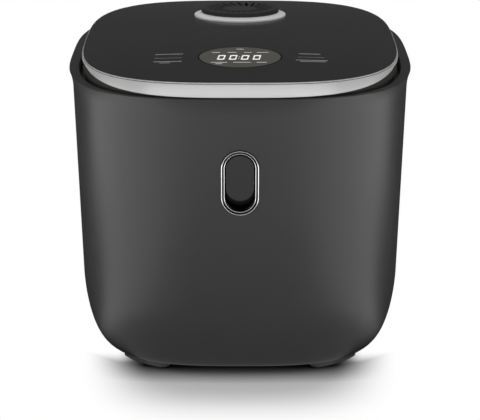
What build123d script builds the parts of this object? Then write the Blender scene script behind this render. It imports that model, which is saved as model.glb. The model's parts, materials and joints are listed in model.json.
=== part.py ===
from build123d import *
import math
import os

# Electric rice cooker with a hinged lid, in millimetres.
# +Z is up and the front faces -Y. The origin is on the floor, under the middle of the body.

# ---------------------------------------------------------------- driving sizes
WIDTH = 270.0                # body across the rim
DEPTH = 332.8                # body across the rim, front to back
RIM_HEIGHT = 224.0           # floor to the body's rim
FOOT_HEIGHT = 7.0            # floor to the underside of the body
OVAL_POWER = 3.17            # how square the rounded outlines are: 2 is an ellipse
OVAL_POINTS = 40             # points on each rounded outline

# Body wall: a soft flare under the rim, a straight draft, then a rounded base
WALL = 2.4
FLARE = 2.2                  # how far the rim stands out
FLARE_DROP = 14.0            # how far down the flare reaches
DRAFT = 0.033                # inward lean of the wall per millimetre down
BASE_ROUND = 52.0            # height of the rounded base
BASE_INSET = 14.5            # how far the rounded base pulls in
BASE_POWER = 1.9
BASE_STEPS = 8               # outlines across the rounded base

# Rim lip and the frame inside it
LIP_SIDE = 7.7               # flat top of the rim at the sides
LIP_FRONT = 1.4              # flat top of the rim at the front and back
LIP_DEPTH = 3.0
LIP_TAPER = 0.45             # inward lean of the lip's inner wall per millimetre down
FRAME_DROP = 8.0             # rim down to the frame's top face
FRAME_PLATE = 2.5
COLLAR_LENGTH = 12.0
COLLAR_WALL = 2.0
FIT_GAP = 0.3                # clearance round pieces that drop into place
RUN_GAP = 0.05               # radial clearance of pins and plungers that run

# Base
BASE_PLATE = 2.4
BASE_REBATE = 2.2            # edge of the body round the base plate
BASE_LEDGE = 8.0             # ledge that the base plate is screwed to
VENT_SLOT_LENGTH = 46.0
VENT_SLOT_WIDTH = 2.6
VENT_SLOT_PITCH = 8.0
VENT_SLOT_ROWS = 9

# Feet
FOOT_SPAN = 30.0             # straight-line length of a foot along the corner
FOOT_WIDTH = 13.0
FOOT_X = 73.0                # middle of a foot from the centre line
FOOT_EDGE = 9.0              # middle of a foot in from the base's edge
FOOT_DRAFT = 4.0             # degrees
PAD_STAND = 0.8              # how far a pad stands below its foot
PAD_DEPTH = 2.5
PAD_MARGIN = 2.6             # rim of the foot round its pad

# Screws
SCREW_RADIUS = 1.5
SCREW_HEAD_RADIUS = 2.9
SCREW_HEAD_HEIGHT = 1.8
SCREW_LENGTH = 9.0
SCREW_CROSS = 0.6
BOSS_RADIUS = 4.2
BOSS_HEIGHT = 10.0
BASE_SCREW_X = 102.0
BASE_SCREW_Y = 60.0
FRAME_SCREW_X = 101.0
FRAME_SCREW_Y = 124.0
FRAME_BOSS_HEIGHT = 30.0
LID_SCREW_X = 92.0
LID_SCREW_Y = 122.0

# Pot
POT_RADIUS = 108.0           # outside of the pot's wall
POT_WALL = 1.6
POT_BASE = 2.5
POT_DEPTH = 130.0            # inside, from the flange's top
POT_ROUND = 32.0             # outside radius of the pot's bottom corner
POT_FLANGE_RADIUS = 115.0
POT_FLANGE = 1.5
POT_CLEARANCE = 2.0          # pot's wall to the frame's collar

# Heated housing round the pot
HOUSING_WALL = 0.8
HOUSING_FLANGE = 6.0
HOUSING_GAP = 0.2            # collar to housing
PLATE_RADIUS = 80.0
PLATE_THICKNESS = 10.0
PLATE_EDGE = 2.0
PLATE_LIFT = 7.2             # housing's floor up to the heating plate
ELEMENT_RADIUS = 58.0        # middle of the heating tube's ring
ELEMENT_TUBE = 3.6
ELEMENT_SWEEP = 316.0        # degrees of the ring that the tube fills
ELEMENT_SINK = 2.4           # how deep the tube lies in its groove
TERMINAL_RADIUS = 2.2
TERMINAL_LENGTH = 18.0
SPACER_RADIUS = 4.0
SPACER_CIRCLE = 72.0
SIDE_HEATER_DROP = 60.0      # rim down to the top of the side heater
SIDE_HEATER_HEIGHT = 30.0
SIDE_HEATER_WALL = 2.2

# Thermal sensor
SENSOR_RADIUS = 18.5
SENSOR_HEIGHT = 8.0
SENSOR_SKIN = 1.4
SENSOR_GAP = 1.5             # sensor to the hole in the heating plate
SENSOR_REST = 0.1            # sensor's top to the pot
STEM_RADIUS = 9.0
STEM_LENGTH = 31.0
SLEEVE_WALL = 2.0
SLEEVE_LENGTH = 12.0
SLEEVE_FLANGE = 1.0
SENSOR_SPRING_RADIUS = 13.4
SENSOR_WIRE = 0.6
SENSOR_TURNS = 4

# Boards
BOARD = 1.6
POWER_BOARD_X = 110.0
POWER_BOARD_Y = 74.0
POWER_BOARD_LIFT = 16.0      # base plate up to the power board
BOARD_POST_RADIUS = 3.5
BOARD_POST_MARGIN = 8.0

# Power inlet in the back wall
INLET_HEIGHT = 60.0          # floor to the middle of the inlet
INLET_WIDTH = 28.0
INLET_TALL = 21.0
INLET_DEPTH = 22.0
SOCKET_WIDTH = 24.0
SOCKET_TALL = 16.4
SOCKET_DEPTH = 17.0
SOCKET_CORNER = 3.0
INLET_FLANGE_WIDTH = 50.0
INLET_FLANGE_TALL = 25.0
INLET_FLANGE = 1.6
INLET_SCREW_X = 20.0
PRONG_WIDE = 4.0
PRONG_THICK = 2.0
PRONG_LENGTH = 13.0
PRONG_PITCH = 7.0

# Lid, seen from the rim's plane up
LID_WIDTH = 247.6            # top panel
LID_DEPTH = 322.8
LID_EDGE = 11.4              # rim up to the edge of the top panel
CROWN = 5.5                  # rise of the top panel from its edge to its middle
CROWN_STEPS = 7
PANEL = 2.6
PANEL_LIP = 2.2
BEVEL_HEIGHT = 1.3
BEVEL_OUT = 0.9
BAND_DRAFT = 0.125           # outward lean of the trim band per millimetre down
BAND_FOOT = 0.6              # rim up to the lowest edge of the trim band
BAND_LEVEL = 3.0             # level stretch of the band's lower edge at the front
BAND_RISE = 0.108            # rise of the band's lower edge per millimetre towards the back
BAND_LEAST = 3.0             # least height of the trim band
TRIM_WALL = 1.5
TRIM_GAP = 0.1
LID_WALL = 2.0
LID_FLOOR = 2.0
LID_SINK = 3.0               # rim down to the lid's underside
LID_SINK_TAPER = 0.2         # inward lean of the lid's skirt below the band

# Lid hinge
HINGE_Y = 154.5              # pin, from the middle of the body
HINGE_UP = 4.0               # rim up to the pin
HINGE_PIN_RADIUS = 2.0
HINGE_KNUCKLE = 4.0
EAR_X = 37.0                 # middle of each ear
EAR_WIDE = 2.0
LUG_X = 31.0                 # middle of each of the lid's lugs
LUG_WIDE = 4.0
HINGE_PLATE = 1.5
HINGE_PLATE_X = 44.0
HINGE_PLATE_FRONT = 8.5      # plate's edge in front of the pin
HINGE_PLATE_BACK = 5.5
HINGE_SCREW_X = 16.0
EAR_SLOT = 1.5               # room beside each ear in the lid's skirt
HINGE_WINDOW_X = 46.0
HINGE_SPRING_RADIUS = 3.3
HINGE_WIRE = 0.55
HINGE_SPRING_X = 24.0
HINGE_SPRING_PITCH = 2.4

# Display and its boards in the lid
DISPLAY_Y = -89.8
DISPLAY_RADIUS = 32.3
DISPLAY_GAP = 0.15
CONTROL_BOARD_X = 170.0
CONTROL_BOARD_Y = 62.0
CONTROL_BOARD_UP = 4.6       # rim up to the control board
MODULE_RADIUS = 29.0
MODULE_HEIGHT = 4.6

# Steam vent
VENT_Y = 74.0
VENT_RING_RADIUS = 38.4
VENT_RING_EDGE = 1.0         # height of the ring's outer edge
VENT_RING_TOP = 2.9
VENT_CAP_RADIUS = 32.6
VENT_SEAT = 1.0              # how deep the ring is let into the panel
VENT_SPIGOT_RADIUS = 30.6
VENT_SPIGOT_WALL = 1.6
VENT_CAP_SIDE = 2.8
VENT_CAP_CROWN = 1.4
VENT_CAP_TOP = 2.0
VENT_CAP_PAD = 12.0          # plain middle of the cap
VENT_SLOTS = 24
VENT_HOLE_LENGTH = 13.0
VENT_HOLE_WIDTH = 1.9
VENT_HOLE_CIRCLE = 21.5
VENT_TUBE_RADIUS = 27.0
VENT_TUBE_WALL = 2.0
VENT_TUBE_GAP = 1.5
VENT_TUBE_HOLE = 7.0
VENT_SEAL_WALL = 1.2

# Underside of the lid
INNER_LID_RADIUS = 102.0
INNER_LID_THICKNESS = 1.0
INNER_LID_DROP = 0.5
GASKET_OUTER = 112.0
GASKET_INNER = 105.0
GASKET_GAP = 0.3             # gasket to the pot's flange
STEAM_HOLE_RADIUS = 2.5
STEAM_HOLE_CIRCLE = 10.0
BUMPER_X = 88.0
BUMPER_Y = -134.0
BUMPER_RADIUS = 4.0

# Release button in the front wall
BUTTON_DROP = 64.6           # rim down to the middle of the bezel
BEZEL_WIDTH = 29.0
BEZEL_TALL = 50.8
BEZEL_WALL = 1.3
BEZEL_PROUD = 1.2
GROOVE = 1.0
TRIM_RING_WALL = 1.0
TRIM_RING_DEPTH = 3.0
CUP_WALL = 1.2
CUP_DEPTH = 13.0
CUP_FLOOR = 1.5
PADDLE_WIDTH = 21.3
PADDLE_TALL = 35.7
PADDLE_THICK = 5.0
PADDLE_TOP_GAP = 0.6
PADDLE_EDGE = 0.8
BUTTON_STEM_RADIUS = 3.0
STEM_PLAY = 0.8              # button's stem to the lever

# Latch
LATCH_Y = -141.0             # lever's pivot
LATCH_DROP = 38.0            # rim down to the pivot
LEVER_WIDE = 15.0
LEVER_THICK = 2.5
LEVER_UP = 22.5              # pivot to the claw's top
LEVER_DOWN = 30.0            # pivot to the lever's foot
LEVER_HUB = 4.0
CLAW_REACH = 3.25
CLAW_THICK = 2.5
LATCH_PIN_RADIUS = 1.5
BRACKET_WALL = 1.5
BRACKET_X = 13.0             # outside of the bracket's cheeks
BRACKET_FRONT = 6.0          # cheek in front of the pivot
BRACKET_BACK = 16.5
BRACKET_FOOT = 34.0          # pivot down to the bracket's foot
HUB_GAP = 0.4
LATCH_WIRE = 0.4
LATCH_SPRING_PITCH = 0.9
HOOK_WIDE = 13.0
HOOK_THICK = 1.5
HOOK_REACH = 1.5             # how far the hook's nose stands out
HOOK_NOSE = 3.0
HOOK_GAP = 1.2               # hook's nose to the claw
HOOK_DROP = 0.8              # claw down to the hook's nose
HOOK_FLANGE = 12.0
HOOK_SLOT_GAP = 2.5

# ---------------------------------------------------------------- derived places
HALF_WIDTH = WIDTH / 2
HALF_DEPTH = DEPTH / 2
BODY_HEIGHT = RIM_HEIGHT - FOOT_HEIGHT
LID_HALF_WIDTH = LID_WIDTH / 2
LID_HALF_DEPTH = LID_DEPTH / 2
FRAME_TOP = RIM_HEIGHT - FRAME_DROP
FRAME_UNDER = FRAME_TOP - FRAME_PLATE
COLLAR_RADIUS = POT_RADIUS + POT_CLEARANCE
HOUSING_RADIUS = COLLAR_RADIUS + COLLAR_WALL + HOUSING_GAP
POT_TOP = FRAME_TOP + POT_FLANGE
POT_UNDER = POT_TOP - POT_DEPTH - POT_BASE
HOUSING_FLOOR = POT_UNDER - PLATE_THICKNESS - PLATE_LIFT
LID_STEP = RIM_HEIGHT + LID_EDGE - PANEL
LID_UNDER = RIM_HEIGHT - LID_SINK
LID_INSIDE = LID_UNDER + LID_FLOOR
HINGE_Z = RIM_HEIGHT + HINGE_UP
LATCH_Z = RIM_HEIGHT - LATCH_DROP

PROFILE_DROPS = [FLARE_DROP * step / 4 for step in range(5)]
PROFILE_DROPS += [FLARE_DROP + (BODY_HEIGHT - BASE_ROUND - FLARE_DROP) * step / 3 for step in range(1, 4)]
PROFILE_DROPS += [BODY_HEIGHT - BASE_ROUND * (1 - math.sin(math.pi / 2 * step / BASE_STEPS))
                  for step in range(1, BASE_STEPS + 1)]


# ---------------------------------------------------------------- shared shapes
def wall_inset(drop):
    """How far the body's outside lies in from the rim's outline, at a drop below the rim."""
    flare_left = max(0.0, 1 - drop / FLARE_DROP)
    inset = FLARE * (1 - flare_left ** 2) + DRAFT * drop
    into_base = drop - (BODY_HEIGHT - BASE_ROUND)
    if into_base > 0:
        share = min(1.0, into_base / BASE_ROUND)
        inset += BASE_INSET * (1 - (1 - share ** BASE_POWER) ** (1 / BASE_POWER))
    return inset


def drops_between(first, last):
    """The profile's drops from first to last, both included, with no two closer than 1 mm."""
    return [first] + [drop for drop in PROFILE_DROPS if first + 1 < drop < last - 1] + [last]


def oval_points(half_width, half_depth):
    """Points round a superellipse, evenly spaced by angle."""
    points = []
    for step in range(OVAL_POINTS):
        angle = 2 * math.pi * step / OVAL_POINTS
        across = abs(math.cos(angle)) / half_width
        along = abs(math.sin(angle)) / half_depth
        reach = (across ** OVAL_POWER + along ** OVAL_POWER) ** (-1 / OVAL_POWER)
        points.append((reach * math.cos(angle), reach * math.sin(angle)))
    return points


def oval_x(half_width, half_depth, y):
    """Half width of a superellipse at a place along its depth."""
    return half_width * (1 - min(0.98, abs(y) / half_depth) ** OVAL_POWER) ** (1 / OVAL_POWER)


def oval(half_width, half_depth):
    """Draw a rounded outline in the sketch in hand."""
    with BuildLine(mode=Mode.PRIVATE) as outline:
        Spline(*oval_points(half_width, half_depth), periodic=True)
    make_face(outline.line)


def loft_ovals(outlines, mode=Mode.ADD, ruled=False):
    """Loft through (height, half width, half depth) outlines."""
    sections = []
    for height, half_width, half_depth in outlines:
        with BuildSketch(Plane.XY.offset(height)) as section:
            oval(half_width, half_depth)
        sections.append(section.sketch)
    loft(sections, ruled=ruled, mode=mode)


def body_outlines(first, last, wall=0.0):
    """Outlines of the body's outside, or of its inside for a wall, between two drops."""
    outlines = []
    for drop in drops_between(first, last):
        inset = wall_inset(drop) + wall
        outlines.append((RIM_HEIGHT - drop, HALF_WIDTH - inset, HALF_DEPTH - inset))
    return outlines


def loft_body(first, last, wall=0.0, mode=Mode.ADD, ruled=False):
    """Loft the body's outside, or its inside for a wall, in one run for each part of the profile."""
    bends = [drop for drop in (FLARE_DROP, BODY_HEIGHT - BASE_ROUND) if first < drop < last]
    stops = [first] + bends + [last]
    for upper, lower in zip(stops, stops[1:]):
        loft_ovals(body_outlines(upper, lower, wall), mode, ruled)


def lip_outline(drop):
    """Outline of the rim's inner wall at a drop below the rim."""
    lean = LIP_TAPER * drop
    return (RIM_HEIGHT - drop, HALF_WIDTH - LIP_SIDE - lean, HALF_DEPTH - LIP_FRONT - lean)


def band_outline(up, inset=0.0):
    """Outline of the trim band's outside at a height above the rim, set in by a wall."""
    grow = BEVEL_OUT + BAND_DRAFT * (LID_EDGE - BEVEL_HEIGHT - up) - inset
    return (RIM_HEIGHT + up, LID_HALF_WIDTH + grow, LID_HALF_DEPTH + grow)


def crown_outlines(drop=0.0, inset=0.0):
    """Outlines of the lid's crowned top, lowered by a panel's thickness for its inside."""
    outlines = []
    for step in range(CROWN_STEPS + 1):
        share = math.cos(math.pi / 2 * 0.97 * step / CROWN_STEPS)
        height = RIM_HEIGHT + LID_EDGE + CROWN * (1 - share ** 2) - drop
        outlines.append((height, share * (LID_HALF_WIDTH - inset), share * (LID_HALF_DEPTH - inset)))
    return outlines


def crown_height(y):
    """Height of the lid's top surface on the centre line."""
    return RIM_HEIGHT + LID_EDGE + CROWN * (1 - (y / LID_HALF_DEPTH) ** 2)


def turn(points, plane=Plane.XY, mode=Mode.ADD):
    """Turn a closed outline of (radius, height) points about a plane's Z axis."""
    upright = Plane(origin=plane.origin, x_dir=plane.x_dir, z_dir=-plane.y_dir)
    with BuildSketch(upright) as section:
        with BuildLine():
            Polyline(*points, close=True)
        make_face()
    revolve(section.sketch, axis=Axis(plane.origin, plane.z_dir), mode=mode)


def ring(inner, outer, low, high, plane=Plane.XY):
    """A plain ring between two radii and two heights."""
    turn([(inner, low), (outer, low), (outer, high), (inner, high)], plane)


def pill(width, tall):
    """Draw an upright pill in the sketch in hand."""
    SlotOverall(tall, width, rotation=90)


def screws(places, seat, up, length=SCREW_LENGTH):
    """Cross-headed screws whose heads rest at a height and stand out up (1) or down (-1)."""
    with BuildSketch(Plane.XY.offset(seat)) as heads:
        with Locations(*places):
            Circle(SCREW_HEAD_RADIUS)
    extrude(heads.sketch, amount=up * SCREW_HEAD_HEIGHT)
    with BuildSketch(Plane.XY.offset(seat)) as shanks:
        with Locations(*places):
            Circle(SCREW_RADIUS)
    extrude(shanks.sketch, amount=-up * length)
    with BuildSketch(Plane.XY.offset(seat + up * SCREW_HEAD_HEIGHT)) as crosses:
        with Locations(*places):
            Rectangle(SCREW_HEAD_RADIUS, SCREW_CROSS)
            Rectangle(SCREW_CROSS, SCREW_HEAD_RADIUS)
    extrude(crosses.sketch, amount=-up * SCREW_HEAD_HEIGHT / 2, mode=Mode.SUBTRACT)


def coil(pitch, height, radius, wire, start, direction):
    """A wound spring of round wire."""
    with BuildLine() as path:
        Helix(pitch, height, radius, center=start, direction=direction)
    with BuildSketch(Plane(origin=path.line @ 0, z_dir=path.line % 0)) as section:
        Circle(wire)
    sweep(section.sketch, path=path.line, is_frenet=True)


def corners(x, y):
    """The four places at plus and minus x and y."""
    return [(x, y), (-x, y), (-x, -y), (x, -y)]


def save(piece, name):
    """Name a finished piece and write it."""
    piece.part.label = name
    export_step(piece.part, f"parts/{name}.step")


os.makedirs("parts", exist_ok=True)

# Planes of the features that lean with a wall or with the lid's crown
WALL_INSET_AT_BUTTON = wall_inset(BUTTON_DROP)
BUTTON_PLANE = Plane(
    origin=(0, WALL_INSET_AT_BUTTON - HALF_DEPTH, RIM_HEIGHT - BUTTON_DROP),
    x_dir=(1, 0, 0),
    z_dir=(0, -1, -DRAFT),
)
INLET_PLANE = Plane(
    origin=(0, HALF_DEPTH - wall_inset(RIM_HEIGHT - INLET_HEIGHT), INLET_HEIGHT),
    x_dir=(-1, 0, 0),
    z_dir=(0, 1, -DRAFT),
)
VENT_SLOPE = 2 * CROWN * VENT_Y / LID_HALF_DEPTH ** 2
VENT_PLANE = Plane(
    origin=(0, VENT_Y, crown_height(VENT_Y)),
    x_dir=(1, 0, 0),
    z_dir=(0, VENT_SLOPE, 1),
)

# ---------------------------------------------------------------- body shell
BASE_OUT = wall_inset(BODY_HEIGHT)
REBATE = BASE_OUT + BASE_REBATE
LEDGE = REBATE + BASE_LEDGE
LEDGE_UNDER = FOOT_HEIGHT + BASE_PLATE
LEDGE_TOP = LEDGE_UNDER + WALL
CUP_WIDTH = BEZEL_WIDTH - 2 * BEZEL_WALL - 2 * TRIM_GAP
CUP_TALL = BEZEL_TALL - 2 * BEZEL_WALL - 2 * TRIM_GAP
RIB_INSET = wall_inset(RIM_HEIGHT - FRAME_UNDER + FRAME_BOSS_HEIGHT) + WALL / 2
RIB_END = oval_x(HALF_WIDTH - RIB_INSET, HALF_DEPTH - RIB_INSET, FRAME_SCREW_Y)

with BuildPart() as outer_shell:
    loft_body(0, BODY_HEIGHT)
    loft_body(LIP_DEPTH, RIM_HEIGHT - LEDGE_TOP, WALL, Mode.SUBTRACT, ruled=True)
    loft_ovals([lip_outline(-1), lip_outline(LIP_DEPTH)], Mode.SUBTRACT, ruled=True)
    with BuildSketch(Plane.XY.offset(FOOT_HEIGHT)):
        oval(HALF_WIDTH - REBATE, HALF_DEPTH - REBATE)
    extrude(amount=BASE_PLATE, mode=Mode.SUBTRACT)
    with BuildSketch(Plane.XY.offset(LEDGE_UNDER)):
        oval(HALF_WIDTH - LEDGE, HALF_DEPTH - LEDGE)
    extrude(amount=WALL, mode=Mode.SUBTRACT)
    with BuildSketch(Plane.XY.offset(FRAME_UNDER)):
        with Locations(*corners(FRAME_SCREW_X, FRAME_SCREW_Y)):
            Circle(BOSS_RADIUS)
    extrude(amount=-FRAME_BOSS_HEIGHT)
    with BuildSketch(Plane.XY.offset(FRAME_UNDER)):
        with Locations(*corners((FRAME_SCREW_X + RIB_END) / 2, FRAME_SCREW_Y)):
            Rectangle(RIB_END - FRAME_SCREW_X, WALL)
    extrude(amount=-FRAME_BOSS_HEIGHT)
    with BuildSketch(Plane.XY.offset(FRAME_UNDER)):
        with Locations(*corners(FRAME_SCREW_X, FRAME_SCREW_Y)):
            Circle(SCREW_RADIUS)
    extrude(amount=-SCREW_LENGTH, mode=Mode.SUBTRACT)
    with BuildSketch(Plane.XY.offset(LEDGE_TOP)):
        with Locations(*corners(BASE_SCREW_X, BASE_SCREW_Y)):
            Circle(BOSS_RADIUS)
    extrude(amount=BOSS_HEIGHT)
    with BuildSketch(Plane.XY.offset(LEDGE_UNDER)):
        with Locations(*corners(BASE_SCREW_X, BASE_SCREW_Y)):
            Circle(BOSS_RADIUS)
    extrude(amount=WALL)
    with BuildSketch(Plane.XY.offset(LEDGE_UNDER)):
        with Locations(*corners(BASE_SCREW_X, BASE_SCREW_Y)):
            Circle(SCREW_RADIUS)
    extrude(amount=SCREW_LENGTH, mode=Mode.SUBTRACT)
    with BuildSketch(BUTTON_PLANE.offset(BEZEL_PROUD)):
        pill(CUP_WIDTH + 2 * TRIM_GAP, CUP_TALL + 2 * TRIM_GAP)
    extrude(amount=-(BEZEL_PROUD + 3 * WALL), mode=Mode.SUBTRACT)
    with BuildSketch(INLET_PLANE.offset(INLET_FLANGE)):
        Rectangle(INLET_WIDTH + 2 * FIT_GAP, INLET_TALL + 2 * FIT_GAP)
        with Locations((-INLET_SCREW_X, 0), (INLET_SCREW_X, 0)):
            Circle(SCREW_RADIUS)
    extrude(amount=-(INLET_FLANGE + 3 * WALL), mode=Mode.SUBTRACT)
save(outer_shell, "outer_shell")

# ---------------------------------------------------------------- base plate, feet and pads
BOARD_CORNERS = corners(POWER_BOARD_X / 2 - BOARD_POST_MARGIN, POWER_BOARD_Y / 2 - BOARD_POST_MARGIN)
BOARD_UNDER = LEDGE_UNDER + POWER_BOARD_LIFT

with BuildPart() as base_plate:
    with BuildSketch(Plane.XY.offset(FOOT_HEIGHT)):
        oval(HALF_WIDTH - REBATE - FIT_GAP, HALF_DEPTH - REBATE - FIT_GAP)
    extrude(amount=BASE_PLATE)
    with BuildSketch(Plane.XY.offset(LEDGE_UNDER)):
        with Locations(*BOARD_CORNERS):
            Circle(BOARD_POST_RADIUS)
    extrude(amount=POWER_BOARD_LIFT)
    with BuildSketch(Plane.XY.offset(BOARD_UNDER)):
        with Locations(*BOARD_CORNERS):
            Circle(SCREW_RADIUS)
    extrude(amount=-SCREW_LENGTH, mode=Mode.SUBTRACT)
    with BuildSketch(Plane.XY.offset(FOOT_HEIGHT)):
        for side in (-1, 1):
            with Locations((0, side * (POWER_BOARD_Y + VENT_SLOT_LENGTH) / 2)):
                with GridLocations(VENT_SLOT_PITCH, 1, VENT_SLOT_ROWS, 1):
                    SlotOverall(VENT_SLOT_LENGTH / 2, VENT_SLOT_WIDTH, rotation=90)
        with Locations(*corners(BASE_SCREW_X, BASE_SCREW_Y)):
            Circle(SCREW_RADIUS + FIT_GAP)
    extrude(amount=BASE_PLATE, mode=Mode.SUBTRACT)
save(base_plate, "base_plate")


def foot_arc(side, end):
    """Middle line of a foot, along the rounded corner of the base."""
    half_width = HALF_WIDTH - BASE_OUT - FOOT_EDGE
    half_depth = HALF_DEPTH - BASE_OUT - FOOT_EDGE
    points = []
    for step in (-1, 0, 1):
        x = FOOT_X + step * FOOT_SPAN / 2 * 0.82
        y = oval_x(half_depth, half_width, x)
        points.append((side * x, end * y))
    return ThreePointArc(*points)


def foot_outline(side, end, width):
    """Draw a foot's outline in the sketch in hand."""
    with BuildLine(mode=Mode.PRIVATE) as middle:
        foot_arc(side, end)
    SlotArc(middle.line.edge(), width)


for end, end_name in ((-1, "front"), (1, "rear")):
    for side, side_name in ((-1, "left"), (1, "right")):
        with BuildPart() as foot:
            with BuildSketch(Plane.XY.offset(FOOT_HEIGHT)):
                foot_outline(side, end, FOOT_WIDTH)
            extrude(amount=-(FOOT_HEIGHT - PAD_STAND), taper=FOOT_DRAFT)
            fillet(foot.faces().sort_by(Axis.Z)[0].edges(), PAD_STAND)
            with BuildSketch(Plane.XY):
                foot_outline(side, end, FOOT_WIDTH - 2 * PAD_MARGIN + 2 * TRIM_GAP)
            extrude(amount=PAD_DEPTH, mode=Mode.SUBTRACT)
        save(foot, f"foot_{end_name}_{side_name}")

        with BuildPart() as foot_pad:
            with BuildSketch(Plane.XY):
                foot_outline(side, end, FOOT_WIDTH - 2 * PAD_MARGIN)
            extrude(amount=PAD_DEPTH)
            fillet(foot_pad.faces().sort_by(Axis.Z)[0].edges(), PAD_STAND / 2)
        save(foot_pad, f"foot_pad_{end_name}_{side_name}")

with BuildPart() as base_screws:
    screws(corners(BASE_SCREW_X, BASE_SCREW_Y), FOOT_HEIGHT, -1)
save(base_screws, "base_screws")

# ---------------------------------------------------------------- frame inside the rim
FRAME_INSET = wall_inset(FRAME_DROP + FRAME_PLATE) + WALL + FIT_GAP
CLAW_TIP = LATCH_Y + LEVER_THICK / 2 + CLAW_REACH
HOOK_NOSE_Y = CLAW_TIP + HOOK_GAP
HOOK_FRONT = HOOK_NOSE_Y + HOOK_REACH
HOOK_SLOT_FRONT = HOOK_NOSE_Y - HOOK_SLOT_GAP
HOOK_SLOT_BACK = HOOK_FRONT + HOOK_THICK + HOOK_SLOT_GAP
HINGE_SCREWS = [(-HINGE_SCREW_X, HINGE_Y), (HINGE_SCREW_X, HINGE_Y)]

with BuildPart() as top_frame:
    with BuildSketch(Plane.XY.offset(FRAME_UNDER)):
        oval(HALF_WIDTH - FRAME_INSET, HALF_DEPTH - FRAME_INSET)
        Circle(COLLAR_RADIUS, mode=Mode.SUBTRACT)
    extrude(amount=FRAME_PLATE)
    ring(COLLAR_RADIUS, COLLAR_RADIUS + COLLAR_WALL, FRAME_UNDER - COLLAR_LENGTH, FRAME_UNDER)
    with BuildSketch(Plane.XY.offset(FRAME_UNDER)):
        with Locations((0, (HOOK_SLOT_FRONT + HOOK_SLOT_BACK) / 2)):
            Rectangle(HOOK_WIDE + 2 * HOOK_SLOT_GAP, HOOK_SLOT_BACK - HOOK_SLOT_FRONT)
        with Locations(*corners(FRAME_SCREW_X, FRAME_SCREW_Y)):
            Circle(SCREW_RADIUS + FIT_GAP)
        with Locations(*HINGE_SCREWS):
            Circle(SCREW_RADIUS)
    extrude(amount=FRAME_PLATE, mode=Mode.SUBTRACT)
save(top_frame, "top_frame")

with BuildPart() as frame_screws:
    screws(corners(FRAME_SCREW_X, FRAME_SCREW_Y), FRAME_TOP, 1)
save(frame_screws, "frame_screws")

with BuildPart() as lid_bumpers:
    with BuildSketch(Plane.XY.offset(FRAME_TOP)):
        with Locations((-BUMPER_X, BUMPER_Y), (BUMPER_X, BUMPER_Y)):
            Circle(BUMPER_RADIUS)
    extrude(amount=LID_UNDER - FIT_GAP - FRAME_TOP)
    fillet(lid_bumpers.faces().group_by(Axis.Z)[-1].edges(), FIT_GAP * 3)
save(lid_bumpers, "lid_bumpers")

# ---------------------------------------------------------------- heated housing
SLEEVE_RADIUS = STEM_RADIUS + RUN_GAP + SLEEVE_WALL

with BuildPart() as inner_housing:
    ring(HOUSING_RADIUS, HOUSING_RADIUS + HOUSING_WALL, HOUSING_FLOOR - HOUSING_WALL, FRAME_UNDER)
    ring(HOUSING_RADIUS, HOUSING_RADIUS + HOUSING_FLANGE, FRAME_UNDER - HOUSING_WALL, FRAME_UNDER)
    ring(SLEEVE_RADIUS + FIT_GAP, HOUSING_RADIUS, HOUSING_FLOOR - HOUSING_WALL, HOUSING_FLOOR)
    with BuildSketch(Plane.XY.offset(HOUSING_FLOOR)):
        for turn_side in (-1, 1):
            half_gap = math.radians((360 - ELEMENT_SWEEP) / 2)
            with Locations((turn_side * ELEMENT_RADIUS * math.sin(half_gap),
                            ELEMENT_RADIUS * math.cos(half_gap))):
                Circle(2 * TERMINAL_RADIUS)
    extrude(amount=-HOUSING_WALL, mode=Mode.SUBTRACT)
save(inner_housing, "inner_housing")

with BuildPart() as side_heater:
    heater_top = RIM_HEIGHT - SIDE_HEATER_DROP
    heater_inside = HOUSING_RADIUS + HOUSING_WALL
    ring(heater_inside, heater_inside + SIDE_HEATER_WALL, heater_top - SIDE_HEATER_HEIGHT, heater_top)
save(side_heater, "side_heater")

PLATE_UNDER = POT_UNDER - PLATE_THICKNESS
ELEMENT_Z = PLATE_UNDER - ELEMENT_TUBE + ELEMENT_SINK
ELEMENT_START = 90 + (360 - ELEMENT_SWEEP) / 2

with BuildPart() as heating_plate:
    hole = SENSOR_RADIUS + SENSOR_GAP
    edge = PLATE_EDGE
    turn([(hole, PLATE_UNDER), (PLATE_RADIUS, PLATE_UNDER), (PLATE_RADIUS, POT_UNDER - edge),
          (PLATE_RADIUS - edge, POT_UNDER), (hole, POT_UNDER)])
    with BuildSketch(Plane.XZ):
        with Locations((ELEMENT_RADIUS, ELEMENT_Z)):
            Circle(ELEMENT_TUBE + TRIM_GAP)
    revolve(axis=Axis.Z, mode=Mode.SUBTRACT)
save(heating_plate, "heating_plate")

with BuildPart() as heating_element:
    with BuildSketch(Plane.XZ.rotated((0, 0, ELEMENT_START))):
        with Locations((ELEMENT_RADIUS, ELEMENT_Z)):
            Circle(ELEMENT_TUBE)
    revolve(axis=Axis.Z, revolution_arc=ELEMENT_SWEEP)
    with BuildSketch(Plane.XY.offset(ELEMENT_Z)):
        with PolarLocations(ELEMENT_RADIUS, 2, ELEMENT_START, -(360 - ELEMENT_SWEEP), endpoint=True):
            Circle(TERMINAL_RADIUS)
    extrude(amount=-TERMINAL_LENGTH)
save(heating_element, "heating_element")

with BuildPart() as plate_spacers:
    with BuildSketch(Plane.XY.offset(HOUSING_FLOOR)):
        with PolarLocations(SPACER_CIRCLE, 3, -90):
            Circle(SPACER_RADIUS)
    extrude(amount=PLATE_LIFT)
save(plate_spacers, "plate_spacers")

# ---------------------------------------------------------------- thermal sensor
SENSOR_TOP = POT_UNDER - SENSOR_REST
SENSOR_UNDER = SENSOR_TOP - SENSOR_HEIGHT

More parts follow.
